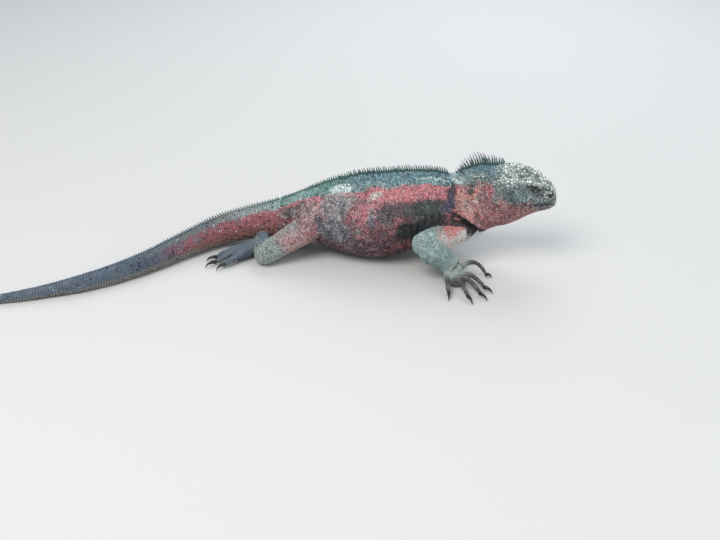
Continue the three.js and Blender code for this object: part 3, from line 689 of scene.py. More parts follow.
def leg_hide(colours, points, form, u, v, grain, fine):
    z = points[:, 2]
    if form.name.endswith("shank"):
        return Paint(colours, points, "knee").over("foot", smoothstep(u + 0.15 * grain, 0.1, 0.45))
    crest = z - np.interp(u, (0, 1), (56, 36))
    paint = Paint(colours, points, "thigh")
    paint.over("coral", 0.5 * smoothstep(grain + 0.3 * fine, -0.1, 0.35))
    paint.over("rose", 0.8 * smoothstep(u + 0.2 * rough_noise(points, 9, 99), 0.3, 0.02))
    paint.over("umber", 0.45 * patches(points, 7, 89, 0.15, 0.45))
    paint.over("knee", 0.8 * smoothstep(crest + 5 * grain + 2 * fine, -1, 6) * smoothstep(u, 0.0, 0.4))
    paint.over("umber", 0.4 * smoothstep(crest, -6, 6) * smoothstep(fine, 0, 0.5))
    paint.over("beige", 0.4 * patches(points, 5, 85, 0.05, 0.4))
    paint.over("knee", smoothstep(u + 0.15 * grain + 0.06 * fine, 0.52, 0.75))
    return paint.over("wine", 0.6 * smoothstep(z, 30, 18) * smoothstep(u, 0.6, 0.3))


def palm_hide(colours, points, form, u, v, grain, fine):
    own, dark = ("hand", 0.9) if "hand" in form.name else ("foot", 0.15)
    paint = Paint(colours, points, own).over("digit", smoothstep(u, 0.8, 1.5) * dark)
    return paint.over("slate", 0.45 * patches(points, 8, 101, 0, 0.4), 1.1)


def digit_hide(colours, points, form, u, v, grain, fine):
    if "foot" in form.name:
        return Paint(colours, points, "foot").over("digit", 0.35 * smoothstep(u, 0.5, 1.2))
    paint = Paint(colours, points, "hand").over("digit", smoothstep(u + 0.15 * grain, 0.05, 0.4))
    joints = smoothstep(np.cos(u * np.pi * 5 + 0.8), 0.1, 0.9) * smoothstep(v * (1 - v), 0.2, 0.1)
    return paint.over("chin", 0.4 * joints * smoothstep(u, 0.15, 0.3))


HIDES = {"trunk": trunk_hide, "tail": tail_hide, "arm": arm_hide, "leg": leg_hide, "foot": palm_hide,
         "digit": digit_hide}


def hide_colours(form, u, v, points, colours):
    """The markings of the hide at points of one form."""
    grain = rough_noise(points, 7, 21)
    fine = noise(points, 2.8, 23)
    if form.region in HIDES:
        paint = HIDES[form.region](colours, points, form, u, v, grain, fine)
    else:
        paint = front_hide(colours, points)
    return paint.rgb * (1 + 0.12 * grain + 0.1 * fine)[:, None]


# Meshes from arrays

def put(name, data):
    """A new object in the scene."""
    thing = bpy.data.objects.new(name, data)
    bpy.context.scene.collection.objects.link(thing)
    return thing


def mesh_object(name, points, faces):
    mesh = bpy.data.meshes.new(name)
    mesh.from_pydata((np.asarray(points) * MM).tolist(), [], faces)
    mesh.validate()
    mesh.shade_smooth()
    return put(name, mesh)


def joined_meshes(parts):
    """Vertices and faces of several meshes as one."""
    points, faces, base = [], [], 0
    for verts, own in parts:
        points.append(verts)
        faces += [tuple(index + base for index in face) for face in own]
        base += len(verts)
    return np.concatenate(points), faces


def vector_array(vectors, attribute):
    """The three numbers of each item of a mesh's collection."""
    held = np.empty(len(vectors) * 3, np.float32)
    vectors.foreach_get(attribute, held)
    return held.reshape(-1, 3).astype(float)


def vertex_array(mesh):
    return vector_array(mesh.vertices, "co") / MM


def search_tree(points):
    tree = kdtree.KDTree(len(points))
    for i, p in enumerate(points):
        tree.insert(p, i)
    tree.balance()
    return tree


def set_hide(mesh, colours):
    """The colours that the hide's finish reads, one at each vertex."""
    layer = mesh.color_attributes.new("hide", "FLOAT_COLOR", "POINT")
    rgba = np.ones((len(mesh.vertices), 4), np.float32)
    rgba[:, :3] = colours
    layer.data.foreach_set("color", rgba.ravel())


def finish_piece(piece, slot, material, *nodes):
    piece.data.materials.clear()
    piece.data.materials.append(material)
    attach(piece, "root")
    if nodes:
        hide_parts(*nodes)


# Skin

HEAD_FROM = (0.160, 0.078)  # the skin's mesh is made finer ahead of this x and above this level, in metres
SKIN_FLOOR = 0.35  # lowest level of the skin
FACE_FROM = (158, 166)  # the face's features fade in between these x
LID_REACH = 13  # how far from the middle of the eye the lids reach
LID_MIDLINE = 8  # the lids lie further than this from the midline
COLLAR_NEAR = (90, 98, 138, 150)  # the x between which the collar's edge swells


def mouth_level(x):
    return np.interp(x, *MOUTH.T)


def eye_centre(side):
    low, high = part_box(f"eye_{side}")
    return np.array((low + high) / 2) / MM


def eye_radius():
    low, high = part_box("eye_right")
    return (high.z - low.z) / 2 / MM


def lid_plane(points, side):
    """Place of points in the plane of the eye: along and up from its middle."""
    s, _, t = (points - eye_centre(side)).T
    c, k = math.cos(LIDS["tilt"]), math.sin(LIDS["tilt"])
    return s * c + t * k, t * c - s * k


def slit_edges(s):
    """Heights of the upper and lower edge of the eye's opening."""
    shape = np.clip(1 - (s / LIDS["slit"]) ** 2, 0, 1)
    return LIDS["upper"] * shape**0.8 + 0.1, -LIDS["lower"] * shape**0.8 - 0.1


def in_slit(points, side, grow=0.0):
    s, t = lid_plane(points, side)
    upper, lower = slit_edges(s * LIDS["slit"] / (LIDS["slit"] + grow))
    return (np.abs(s) < LIDS["slit"] + grow) & (t < upper + grow) & (t > lower - grow)


def lid_swell(s, t, most=None):
    return np.clip(1 - (s / LIDS["long"]) ** 2 - (t / LIDS["tall"]) ** 2, 0, most)


def shape_lids(points):
    """Skin round each eye swells into a lid, and opens over the eye."""
    radius = eye_radius()
    for side, sign in SIDES.items():
        eye = abs(eye_centre(side)[1])
        s, t = lid_plane(points, side)
        out = points[:, 1] * sign
        near = (out > LID_MIDLINE) & (np.hypot(s, t) < LID_REACH)
        swell = lid_swell(s, t)
        lid = eye + LIDS["proud"] * np.sqrt(swell)
        lid += 0.45 * bell(t, 4.2, 0.8) - 0.5 * bell(t, 3.0, 0.6)
        out = np.where(near & (swell > 0), np.maximum(out, lid), out)
        ball = eye + np.sqrt(np.clip(radius**2 - s**2 - t**2, 4, None)) - 1.6
        out = np.where(near & in_slit(points, side), np.minimum(out, ball), out)
        points[:, 1] = out * sign
    return points


def fold_depths(points, normals):
    """How far the skin rises (or sinks, when negative) where it folds, wrinkles and bulges."""
    x, y, z = points.T
    height = smoothstep(np.abs(normals[:, 1]), 0.15, 0.6)
    wander = rough_noise(points, 26, 41)
    rise = 0.9 * rough_noise(points, 30, 43)
    # Upright wrinkles of loose skin on the flanks, closest behind the arm and before the thigh
    loose = height * window(x, -120, -85, 70, 100) * window(z, 8, 20, 88, 112)
    close = 0.45 + 0.55 * np.maximum(smoothstep(x, 10, 45), smoothstep(x, -55, -85))
    rise += loose * close * 1.15 * ripple(x + 0.25 * z + 9 * wander, 11.5)
    rise += loose * 0.6 * ripple(z - 0.15 * x + 10 * wander, 15)
    # Folds round the neck, along the nape and under the throat
    below = np.interp(x, *COLLAR_EDGE.T) - z
    neck = window(x, 92, 106, 150, 166) * smoothstep(z, 134, 122) * smoothstep(below, 2, -6) * height
    rise += neck * 0.75 * ripple(x + 0.32 * (z - 90) + 6 * wander, 8.2)
    nape = window(x, 100, 112, 152, 168) * window(z, 122, 130, 140, 146)
    rise += nape * 0.7 * ripple(z - 0.25 * (x - 120) + 3 * wander, 5.5)
    throat = window(x, 146, 158, 192, 210) * smoothstep(z, 96, 84) * height
    rise += throat * 0.6 * ripple(z - 0.5 * (x - 170) + 5 * wander, 7.5)
    # A crease runs round each wrist
    for _, elbow, wrist, _ in ARMS.values():
        along = (points - wrist) @ unit(np.subtract(wrist, elbow).astype(float))
        near = smoothstep(np.linalg.norm(points - wrist, axis=1), 26, 20)
        rise -= 1.5 * near * bell(along, 6, 1.2)
    # The collar's edge overhangs the chest, which lies deeper
    edge = 1.3 * bell(below, -2.2, 1.9) - 3.4 * window(below, -0.6, 1.6, 8, 13)
    return rise + smoothstep(np.abs(y), 10, 22) * window(x, *COLLAR_NEAR) * edge


def mouth_depths(points):
    x, _, z = points.T
    off = z - mouth_level(x)
    lips = 0.65 * (bell(off, 2.6, 1.6) + bell(off, -2.6, 1.6))
    # The corner of the mouth sinks into a short fold
    corner = np.hypot((x - 192) / 3.2, (z - 98.4) / 1.5)
    return (lips - 1.7 * bell(off, 0, 0.75)) * smoothstep(x, 191, 197) - 1.1 * bell(corner, 0, 1)


def nose_and_ear_depths(points):
    rise = np.zeros(len(points))
    for sign in SIDES.values():
        far = np.linalg.norm(points - np.array(NOSTRIL) * (1, sign, 1), axis=1)
        rise += 0.9 * bell(far, 3.7, 1.0) - 3.2 * bell(far, 0, 2.2)
        ear = (points - np.array(EAR) * (1, sign, 1)) / (4.6, 8, 6.6)
        rise -= 2.4 * smoothstep(np.linalg.norm(ear, axis=1), 1.0, 0.62)
    return rise


def brow_meshes():
    x, y, z = BROW
    ridge = limb_point((x - 6.5, 0, 0), (x + 6.5, 0, 0), 3.4, 3.0)
    for sign in SIDES.values():
        points, faces = Form("brow", "head", ridge, LIMB_RUN, 16, 16, 12).mesh(0)
        points[:, 1] = points[:, 1] * 0.9 + sign * (y - 0.6)
        points[:, 2] += z - 0.22 * (points[:, 0] - x) - 0.4
        yield points, faces


def add_smoothing(thing, name, turns, group=""):
    ease = thing.modifiers.new(name, "SMOOTH")
    ease.factor = 0.5
    ease.iterations = turns
    ease.vertex_group = group


def applied(thing):
    """The mesh of an object with its modifiers, which is then taken away."""
    graph = bpy.context.evaluated_depsgraph_get()
    mesh = bpy.data.meshes.new_from_object(thing.evaluated_get(graph))
    bpy.data.objects.remove(thing)
    return mesh


# Bands round a limb's root: strength of the smoothing, and where each begins and ends in shares of its reach
ROOT_BANDS = ((0.25, 0.9, 1.025), (0.5, 0.775, 0.9), (0.75, 0.65, 0.775), (1.0, 0.0, 0.65))


def skin_base(sizes):
    """All forms joined and fused into one closed skin, a coat's depth inside the solids."""
    parts = [form.mesh(-sizes.coat_depth / MM) for form in body_forms()] + list(brow_meshes())
    rough = mesh_object("skin_rough", *joined_meshes(parts))
    remesh = rough.modifiers.new("fuse", "REMESH")
    remesh.mode = "VOXEL"
    remesh.voxel_size = sizes.skin_mesh
    add_smoothing(rough, "settle", 4)
    fused = put("skin_fused", applied(rough))
    # Where a limb meets the flank the skin runs over in a soft curve.
    points = vertex_array(fused.data)
    for number, (where, reach, turns) in enumerate(SOFT_ROOTS):
        group = fused.vertex_groups.new(name=f"root_{number}")
        far = np.linalg.norm((points - where) / reach, axis=1)
        for strength, begins, ends in ROOT_BANDS:
            group.add(np.flatnonzero((far >= begins) & (far < ends)).tolist(), strength, "REPLACE")
        add_smoothing(fused, group.name, turns, group.name)
    return applied(fused)


def skin_mesh(sizes):
    mesh = skin_base(sizes)
    # The head's mesh is made finer before its features are pressed in.
    work = bmesh.new()
    work.from_mesh(mesh)
    edges = [edge for edge in work.edges if min(v.co.x for v in edge.verts) > HEAD_FROM[0]
             and max(v.co.z for v in edge.verts) > HEAD_FROM[1]]
    bmesh.ops.subdivide_edges(work, edges=edges, cuts=1, use_grid_fill=True)
    work.to_mesh(mesh)
    work.free()
    points = vertex_array(mesh)
    normals = vector_array(mesh.vertex_normals, "vector")
    points += normals * fold_depths(points, normals)[:, None]
    face = smoothstep(points[:, 0], *FACE_FROM)
    points += normals * (mouth_depths(points) + nose_and_ear_depths(points))[:, None] * face[:, None]
    points = shape_lids(points)
    points[:, 2] = np.maximum(points[:, 2], SKIN_FLOOR)
    mesh.vertices.foreach_set("co", (points * MM).ravel())
    mesh.update()
    mesh.shade_smooth()
    return mesh


# Scale roots: placed in rows over each form, then dropped on to the skin

PITCH = {"trunk": 2.25, "tail": 2.8, "neck": 2.2, "head": 1.3, "arm": 2.1, "leg": 2.15, "foot": 1.75,
         "digit": 1.7}
# Shares of the pitch from row to row and from scale to scale in a row, and in the rings of the tail
ROWS, RING_ROWS = (0.87, 1.0), (1.25, 0.82)
LOOP_SIDES = 48
# How close two scales may lie, in shares of their width
SLACK, OWN_SLACK = 0.8, {"head": 0.84, "tail": 0.66}
ROOT_REACH, SOFT_REACH = 2.6, 7.0  # how far a root may lie from the skin, and where a limb meets the flank
LIP_WIDTH, LIP_REACH = 3.1, 3.5
LIP_LINES = ((2.1, 3.5), (-2.0, 3.3))  # height off the mouth's line and pitch of the plates
SITE_CELL = 5.2  # wider than any two scales that touch


def row_roots(form, pitch, rng):
    """u and v of roots in rows across a form, a pitch apart along it and round it."""
    fine = np.linspace(*form.u_range, 240)
    corners = np.arange(LOOP_SIDES) / LOOP_SIDES
    loops = np.array([form.point(np.full(LOOP_SIDES, u), corners) for u in fine])
    girth = np.linalg.norm(np.roll(loops, -1, axis=1) - loops, axis=2).sum(axis=1)
    middle = np.linalg.norm(np.diff(loops.mean(axis=1), axis=0), axis=1)
    side = np.linalg.norm(np.diff(loops[:, 0], axis=0), axis=1)
    along = np.concatenate([[0], np.cumsum(np.maximum(middle, side * 0.8))])
    row_step, scale_step = RING_ROWS if form.region == "tail" else ROWS
    rows = np.interp(np.arange(0, along[-1], pitch * row_step), along, fine)
    found = []
    for number, u in enumerate(rows):
        count = max(3, int(round(np.interp(u, fine, girth) / (pitch * scale_step))))
        turn = (np.arange(count) + (0.5 if number % 2 else 0.0)) / count
        turn = turn + rng.uniform(-0.12, 0.12, count) / count
        stray = rng.uniform(-0.05, 0.05, count) * pitch * (fine[-1] - fine[0]) / along[-1]
        found.append(np.stack([u + stray, turn % 1], axis=1))
    roots = np.concatenate(found)
    if form.region == "head":
        # Rings of the head are evenly spaced by distance, not by share.
        shares = np.linspace(0, 1, LOOP_SIDES + 1)
        for row in rows:
            own = np.abs(roots[:, 0] - row) < 1e-3
            if own.any():
                run = run_along(form.point(np.full(len(shares), row), shares))
                roots[own, 1] = np.interp(roots[own, 1] * run[-1], run, shares)
    return roots


class Sites:
    """Scale roots kept clear of one another in a grid of cells."""

    def __init__(self, cell):
        self.cell = cell
        self.cells = {}
        self.points = []
        self.sizes = []

    def free(self, point, size, slack):
        x, y, z = (int(math.floor(c / self.cell)) for c in point)
        for key in ((x + i, y + j, z + k) for i in (-1, 0, 1) for j in (-1, 0, 1) for k in (-1, 0, 1)):
            for other in self.cells.get(key, ()):
                gap = (size + self.sizes[other]) * 0.5 * slack
                p = self.points[other]
                if (p[0] - point[0]) ** 2 + (p[1] - point[1]) ** 2 + (p[2] - point[2]) ** 2 < gap * gap:
                    return False
        return True

    def add(self, point, size):
        key = tuple(int(math.floor(c / self.cell)) for c in point)
        self.cells.setdefault(key, []).append(len(self.points))
        self.points.append(point)
        self.sizes.append(size)


def scale_size(region, points):
    """Width of the scales in mm at points of a region."""
    x, _, z = points.T
    if region == "trunk":
        return np.interp(z, (5, 30, 90, 120), (2.9, 2.35, 2.2, 2.5))
    if region == "tail":
        return np.interp(x, (-600, -400, -200), (2.1, 2.8, 2.9))
    if region == "neck":
        return np.interp(z, (60, 130), (2.0, 2.4))
    if region == "head":
        top = smoothstep(z, 122, 134)
        snout = smoothstep(x, 208, 222) * smoothstep(z, 102, 108)
        lip = smoothstep(np.abs(z - mouth_level(x)), 6, 3) * smoothstep(x, 193, 200)
        cheek = smoothstep(np.hypot((x - 182) / 16, (z - 104) / 10), 1.2, 0.6)
        size = 1.8 + 1.9 * np.maximum(top, snout * 0.8) + 0.9 * lip + 0.9 * cheek
        size = size * (1 + 0.38 * noise(points, 4.5, 71))
        eye = np.minimum(*(np.linalg.norm(points - eye_centre(side), axis=1) for side in SIDES))
        return size - (size - 1.2) * smoothstep(eye, 12.5, 10)
    return np.full(len(points), {"digit": 1.7, "foot": 1.75}.get(region, 2.15))


def in_feature(points):
    """True where the head has no scales: the eye's opening, the nostrils, the ear and the mouth's line."""
    inside = (np.abs(points[:, 2] - mouth_level(points[:, 0])) < 0.75) & (points[:, 0] > 193)
    for side, sign in SIDES.items():
        mirror = (1, sign, 1)
        inside |= (points[:, 1] * sign > 0) & in_slit(points, side, 0.5)
        inside |= np.linalg.norm(points - np.array(NOSTRIL) * mirror, axis=1) < 2.7
        inside |= np.linalg.norm((points - np.array(EAR) * mirror) / (4.0, 9, 6.0), axis=1) < 0.95
    return inside


def ring_profile(x):
    """Levels and half widths of the head at x, sorted by level."""
    u = np.interp(x, HEAD[:, 0], np.arange(len(HEAD)))
    ring = head_point(np.full(24, u), np.linspace(0.02, 0.48, 24))
    order = np.argsort(ring[:, 2])
    return ring[order, 2], np.abs(ring[order, 1])


def lip_rows():
    """Roots of the plates along the upper and lower lip, on both sides and round the front."""
    rows = []
    x = np.arange(194.5, 236.0, 0.25)
    for off, pitch in LIP_LINES:
        width = np.array([np.interp(mouth_level(a) + off, *ring_profile(a)) for a in x])
        run = run_along(np.stack([x, width], axis=1))
        at = np.arange(pitch / 2, run[-1], pitch)
        px, py = np.interp(at, run, x), np.interp(at, run, width)
        for sign in (1, -1):
            rows.append(np.stack([px, sign * py, mouth_level(px) + off], axis=1))
    return np.concatenate(rows)


def place_roots(mesh, forms, colours, seed):
    """Roots of all scales: place, normal, lie, size, colour, region and place on the unwrap."""
    rng = np.random.default_rng(seed)
    points = vertex_array(mesh)
    tree = BVHTree.FromPolygons(points.tolist(), [tuple(p.vertices) for p in mesh.polygons])
    sites = Sites(SITE_CELL)
    kept = {key: [] for key in ("point", "normal", "lie", "size", "paint", "region", "chart", "u", "v")}

    def settle(where, reach):
        place, normal, _, far = tree.find_nearest(Vector(where))
        return (place, normal) if far < reach else (None, None)

    def keep(place, *facts):
        sites.add(tuple(place), facts[2])
        for key, value in zip(kept, (tuple(place), *facts)):
            kept[key].append(value)

    for number, form in enumerate(forms):
        u, v = row_roots(form, PITCH[form.region], rng).T
        spots = form.point(u, v)
        paint = hide_colours(form, u, v, spots, colours)
        lie = unit(form.point(u - 0.01 * (form.u_range[1] - form.u_range[0]), v) - spots)
        if form.region in ("arm", "leg", "foot", "digit"):
            lie = -lie
        size = scale_size(form.region, spots)
        order = np.arange(len(spots))
        blocked = np.zeros(len(spots), bool)
        if form.region == "head":
            order = rng.permutation(len(spots))
            blocked = in_feature(spots)
            for lip in lip_rows():
                place, normal = settle(lip, LIP_REACH)
                if place is None:
                    continue
                i = int(np.argmin(np.linalg.norm(spots - lip, axis=1)))
                keep(place, tuple(normal), tuple(lie[i]), LIP_WIDTH, paint[i], "lip", number, u[i], v[i])
        slack = OWN_SLACK.get(form.region, SLACK)
        reach = np.full(len(spots), ROOT_REACH)
        for soft, wide, _ in SOFT_ROOTS:
            reach = np.where(np.linalg.norm((spots - soft) / wide, axis=1) < 1.2, SOFT_REACH, reach)
        for i in order:
            if blocked[i]:
                continue
            place, normal = settle(spots[i], reach[i])
            if place is not None and sites.free(place, size[i], slack):
                keep(place, tuple(normal), tuple(lie[i]), size[i], paint[i], form.region, number, u[i], v[i])
    # Bare patches between the rows are filled where a scale still fits.
    near = search_tree(kept["point"])
    faces = np.array([tuple(p.vertices)[:3] for p in mesh.polygons])
    middles = points[faces].mean(axis=1)
    blocked = in_feature(middles) & (middles[:, 0] > HEAD_FROM[0] / MM)
    for i in rng.permutation(len(faces)):
        if blocked[i]:
            continue
        _, other, _ = near.find(middles[i])
        slack = 0.9 if kept["region"][other] == "tail" else 0.82
        if sites.free(middles[i], kept["size"][other], slack):
            normal = tuple(mesh.polygons[int(i)].normal)
            keep(middles[i], normal, *(kept[key][other] for key in list(kept)[2:]))
    return {key: np.array(value) for key, value in kept.items()}


# Scales: each takes the shape of its own cell among its neighbours

# Height of the tip and of the shoulder as shares of the width, shoulder's share of the reach, lean of the tip
PROFILES = {
    "trunk": (0.42, 0.2, 0.74, 0.3),
    "neck": (0.46, 0.2, 0.7, 0.25),
    "tail": (0.36, 0.18, 0.76, 0.5),
    "arm": (0.36, 0.18, 0.74, 0.25),
    "leg": (0.38, 0.18, 0.74, 0.25),
    "foot": (0.2, 0.12, 0.8, 0.25),
    "digit": (0.2, 0.12, 0.8, 0.25),
    "head": (0.5, 0.26, 0.68, 0.12),
    "lip": (0.26, 0.2, 0.82, 0.05),
}
# How far the scales of a region differ in lightness, and how many of them are pale flecks and dark specks
SPECKLE = {
    "trunk": (0.3, 0.07, 0.13), "neck": (0.3, 0.08, 0.12), "tail": (0.2, 0.03, 0.08),
    "arm": (0.16, 0.08, 0.03), "leg": (0.28, 0.1, 0.12), "foot": (0.12, 0.01, 0.03),
    "digit": (0.12, 0.0, 0.03), "head": (0.36, 0.09, 0.16), "lip": (0.25, 0.0, 0.1),
}
FLECK = (0.62, 0.63, 0.58)
SUNK = 0.3  # how deep a scale's rim lies in the skin
PATCH = 0.0015  # half the width of a scale's patch on the unwrap
SCALE_FLOOR = 0.02
BOX_MARGIN = 0.05  # how far scales and spines stay inside the box of the solids
NEIGHBOURS = 10
PAINTED_SHADE_AND_HIGHLIGHT = (0.5, 0.92, 1.18)  # lightness of a scale's rim, shoulder and tip: painted shade round the sunk rim, a painted highlight on the tip


def cell_reaches(roots, side_axis, lie_axis, turn):
    """How far each scale reaches in each direction before it meets a neighbour."""
    places, sizes = roots["point"], roots["size"]
    tree = search_tree(places)
    table = np.array([[hit[1] for hit in tree.find_n(p, NEIGHBOURS + 1)] for p in places])[:, 1:]
    to = places[table] - places[:, None, :]
    a = np.einsum("nkj,nj->nk", to, lie_axis)
    b = np.einsum("nkj,nj->nk", to, side_axis)
    far = np.hypot(a, b)
    share = sizes[:, None] / (sizes[:, None] + sizes[table])
    reach = np.repeat((sizes * 0.7)[:, None], len(turn), axis=1)
    reach = reach * (1 + 0.35 * np.abs(np.cos(turn)) * (roots["region"] == "tail")[:, None])
    for k, angle in enumerate(turn):
        facing = (a * math.cos(angle) + b * math.sin(angle)) / np.maximum(far, 1e-6)
        edge = np.where(facing > 0.05, far * share / np.maximum(facing, 0.05), 1e9)
        reach[:, k] = np.minimum(reach[:, k], edge.min(axis=1))
    return reach


def scale_arrays(roots, corners):
    """Vertices of scales (a sunk rim, a shoulder, a leaning tip), their faces, and the plan of one scale."""
    turn = np.arange(corners) * 2 * np.pi / corners + np.pi / corners
    normal = unit(roots["normal"].astype(float))
    lie = roots["lie"].astype(float)
    lie = unit(lie - normal * np.sum(lie * normal, axis=1, keepdims=True))
    side = np.cross(normal, lie)
    reach = cell_reaches(roots, side, lie, turn)
    count = len(normal)
    profiles = np.array([PROFILES[region] for region in roots["region"]])
    tip_rise, shoulder_rise, shoulder_reach, lean = profiles.T
    tall = roots["size"] * tip_rise * np.random.default_rng(5).uniform(0.8, 1.2, count)
    tall = tall * (1 - 0.7 * smoothstep(normal[:, 2], -0.35, -0.8))
    around = lie[:, None, :] * np.cos(turn)[:, None] + side[:, None, :] * np.sin(turn)[:, None]
    centre, up = roots["point"][:, None, :], normal[:, None, :]
    rim = centre + around * (reach * 0.96)[..., None] - up * SUNK
    shoulder = (centre + around * (reach * shoulder_reach[:, None])[..., None]
                + up * (tall * shoulder_rise / tip_rise)[:, None, None])
    tip = centre + lie[:, None, :] * (reach[:, 0] * lean)[:, None, None] + up * tall[:, None, None]
    points = np.concatenate([rim, shoulder, tip], axis=1)
    k = np.arange(corners)
    after = (k + 1) % corners
    sides = np.stack([k, after, after + corners, k + corners], axis=1)
    caps = np.stack([k + corners, after + corners, np.full(corners, 2 * corners)], axis=1)
    starts = np.arange(count)[:, None, None] * points.shape[1]
    parts = (sides, caps, k[::-1][None])
    loops = np.concatenate([(starts + part).reshape(count, -1) for part in parts], axis=1)
    lengths = np.tile([4] * corners + [3] * corners + [corners], count)
    ring = np.stack([np.cos(turn), np.sin(turn)], axis=1)
    return points, loops.ravel(), lengths, np.concatenate([ring, ring * 0.75, [(0.1, 0)]])


def mesh_from_loops(name, points, loops, lengths):
    mesh = bpy.data.meshes.new(name)
    mesh.vertices.add(len(points))
    mesh.vertices.foreach_set("co", (points * MM).astype(np.float32).ravel())
    mesh.loops.add(len(loops))
    mesh.loops.foreach_set("vertex_index", loops.astype(np.int32))
    mesh.polygons.add(len(lengths))
    starts = np.concatenate([[0], np.cumsum(lengths)[:-1]])
    mesh.polygons.foreach_set("loop_start", starts.astype(np.int32))
    mesh.update(calc_edges=True)
    mesh.shade_smooth()
    return mesh


def unwrap_places(roots, forms):
    """Each root's place on an unwrap of the skin: u and v of its form, in that form's strip of the square."""
    lengths = np.array([form.length for form in forms], float)
    starts = np.concatenate([[0], np.cumsum(lengths)]) / lengths.sum()
    place = np.empty((len(roots["u"]), 2))
    for number, form in enumerate(forms):
        own = roots["chart"] == number
        along = (roots["u"][own] - form.u_range[0]) / (form.u_range[1] - form.u_range[0])
        strip = starts[number + 1] - starts[number]
        place[own, 0] = starts[number] + strip * (0.02 + 0.96 * np.clip(along, 0, 1))
        place[own, 1] = 0.01 + 0.98 * roots["v"][own]
    return place


def speckled(roots, rng):
    """Paint of each scale: its marking, lighter or darker than its neighbours', with flecks and specks."""
    points = roots["point"]
    count = len(points)
    spread, pale, dark = np.array([SPECKLE[region] for region in roots["region"]]).T
    far_tail = (roots["region"] == "tail") * smoothstep(points[:, 0], -210, -290)
    spread = spread * (1 - 0.5 * far_tail)
    pale = pale * (1 - 0.85 * far_tail)
    dark = dark * (1 - 0.6 * far_tail)
    tint = np.exp(spread * (rng.standard_normal(count).clip(-1.9, 1.9) + 0.5 * noise(points, 5, 77)))
    paint = roots["paint"] * tint[:, None]
    fleck = FLECK * np.clip(0.1 + roots["paint"].mean(axis=1) * 4, 0, 1)[:, None]
    thick = np.clip(1 + 1.3 * noise(points, 9, 61), 0, None)
    paint = np.where((rng.random(count) < pale * thick)[:, None], paint * 0.4 + 0.6 * fleck, paint)
    low = 1 + 1.2 * smoothstep(points[:, 2], 78, 45) * (roots["region"] == "trunk")
    thick = np.clip(1 + 1.3 * noise(points, 8, 63), 0, None)
    return np.where((rng.random(count) < dark * thick * low)[:, None], paint * 0.32, paint)


def inside_box(x):
    """Levels of x held inside the ends of the box of the solids."""
    return np.clip(x, CAD_BOX[0][0] / MM + BOX_MARGIN, CAD_BOX[1][0] / MM - BOX_MARGIN)


def scale_piece(name, roots, forms, corners, slot, material):
    points, loops, lengths, plan = scale_arrays(roots, corners)
    points[..., 2] = np.maximum(points[..., 2], SCALE_FLOOR)
    points[..., 0] = inside_box(points[..., 0])
    mesh = mesh_from_loops(name, points.reshape(-1, 3), loops, lengths)
    paint = speckled(roots, np.random.default_rng(len(roots["u"])))
    # Painted shade darkens each scale's rim and a painted highlight lightens its tip, both weaker on the far
    # tail.
    shade = np.repeat(PAINTED_SHADE_AND_HIGHLIGHT, (corners, corners, 1))
    soft = 1 - 0.55 * (roots["region"] == "tail") * smoothstep(roots["point"][:, 0], -190, -280)
    colours = paint[:, None, :] * (1 + (shade - 1) * soft[:, None])[..., None]
    set_hide(mesh, np.clip(colours.reshape(-1, 3), 0, 1))
    # The map on which the finish is drawn: a small patch for each scale at its root's place.
    flat = (unwrap_places(roots, forms)[:, None, :] + plan[None] * PATCH).reshape(-1, 2)
    layer = mesh.uv_layers.new(name="OFBake")
    layer.data.foreach_set("uv", flat[loops].astype(np.float32).ravel())
    finish_piece(put(name, mesh), slot, material)


# Materials

# Finishes: how far the mottling shows, roughness and strength of the relief
FINISHES = {
    "bare_hide": (0.4, 0.62, 0.5),
    "scaled_hide": (0.5, 0.5, 0.35),
    "spine_horn": (0.5, 0.5, 0.3),
    "claw_horn": (0.5, 0.35, 0.2),
    "wet_eye": (0.3, 0.08, 0.0),
}
RELIEF_DEPTH = 0.0003


def set_inputs(shader, **values):
    """Set sockets by their names, with _ for a space."""
    for key, value in values.items():
        shader.inputs[key.replace("_", " ")].default_value = value


def node(tree, kind, **settings):
    made = tree.nodes.new(kind)
    for key, value in settings.items():
        setattr(made, key, value)
    return made


def hide_grain_group():
    """Fine mottling, damp sheen and bump that every part of the hide shares."""
    name = "Hide Grain"
    if name in bpy.data.node_groups:
        return bpy.data.node_groups[name]
    tree = bpy.data.node_groups.new(name, "ShaderNodeTree")
    for label, kind, value in (("Color", "Color", (0.5, 0.5, 0.5, 1)), ("Mottle", "Float", 0.3),
                               ("Roughness", "Float", 0.6)):
        socket = tree.interface.new_socket(label, in_out="INPUT", socket_type=f"NodeSocket{kind}")
        socket.default_value = value
    for label, kind in (("Color", "Color"), ("Roughness", "Float"), ("Height", "Float")):
        tree.interface.new_socket(label, in_out="OUTPUT", socket_type=f"NodeSocket{kind}")
    given = node(tree, "NodeGroupInput")
    out = node(tree, "NodeGroupOutput")
    place = node(tree, "ShaderNodeTexCoord")
    spots = node(tree, "ShaderNodeTexNoise", noise_dimensions="3D")
    clouds = node(tree, "ShaderNodeTexNoise", noise_dimensions="3D")
    darken = node(tree, "ShaderNodeMapRange")
    damp = node(tree, "ShaderNodeMapRange")
    tint = node(tree, "ShaderNodeMix", data_type="RGBA", blend_type="MULTIPLY")
    total = node(tree, "ShaderNodeMath", operation="ADD")
    set_inputs(spots, Scale=420, Detail=3)
    set_inputs(clouds, Scale=70, Detail=4)
    set_inputs(darken, From_Min=0.35, From_Max=0.65, To_Min=0.72, To_Max=1.22)
    set_inputs(damp, From_Min=0.3, From_Max=0.7, To_Min=-0.12, To_Max=0.12)
    for source, socket, target, into in (
        (place, "Object", spots, "Vector"),
        (place, "Object", clouds, "Vector"),
        (spots, "Fac", darken, "Value"),
        (given, "Mottle", tint, "Factor"),
        (given, "Color", tint, "A"),
        (darken, "Result", tint, "B"),
        (tint, "Result", out, "Color"),
        (clouds, "Fac", damp, "Value"),
        (given, "Roughness", total, 0),
        (damp, "Result", total, 1),
        (total, "Value", out, "Roughness"),
        (spots, "Fac", out, "Height"),
    ):
        tree.links.new(source.outputs[socket], target.inputs[into])
    return tree


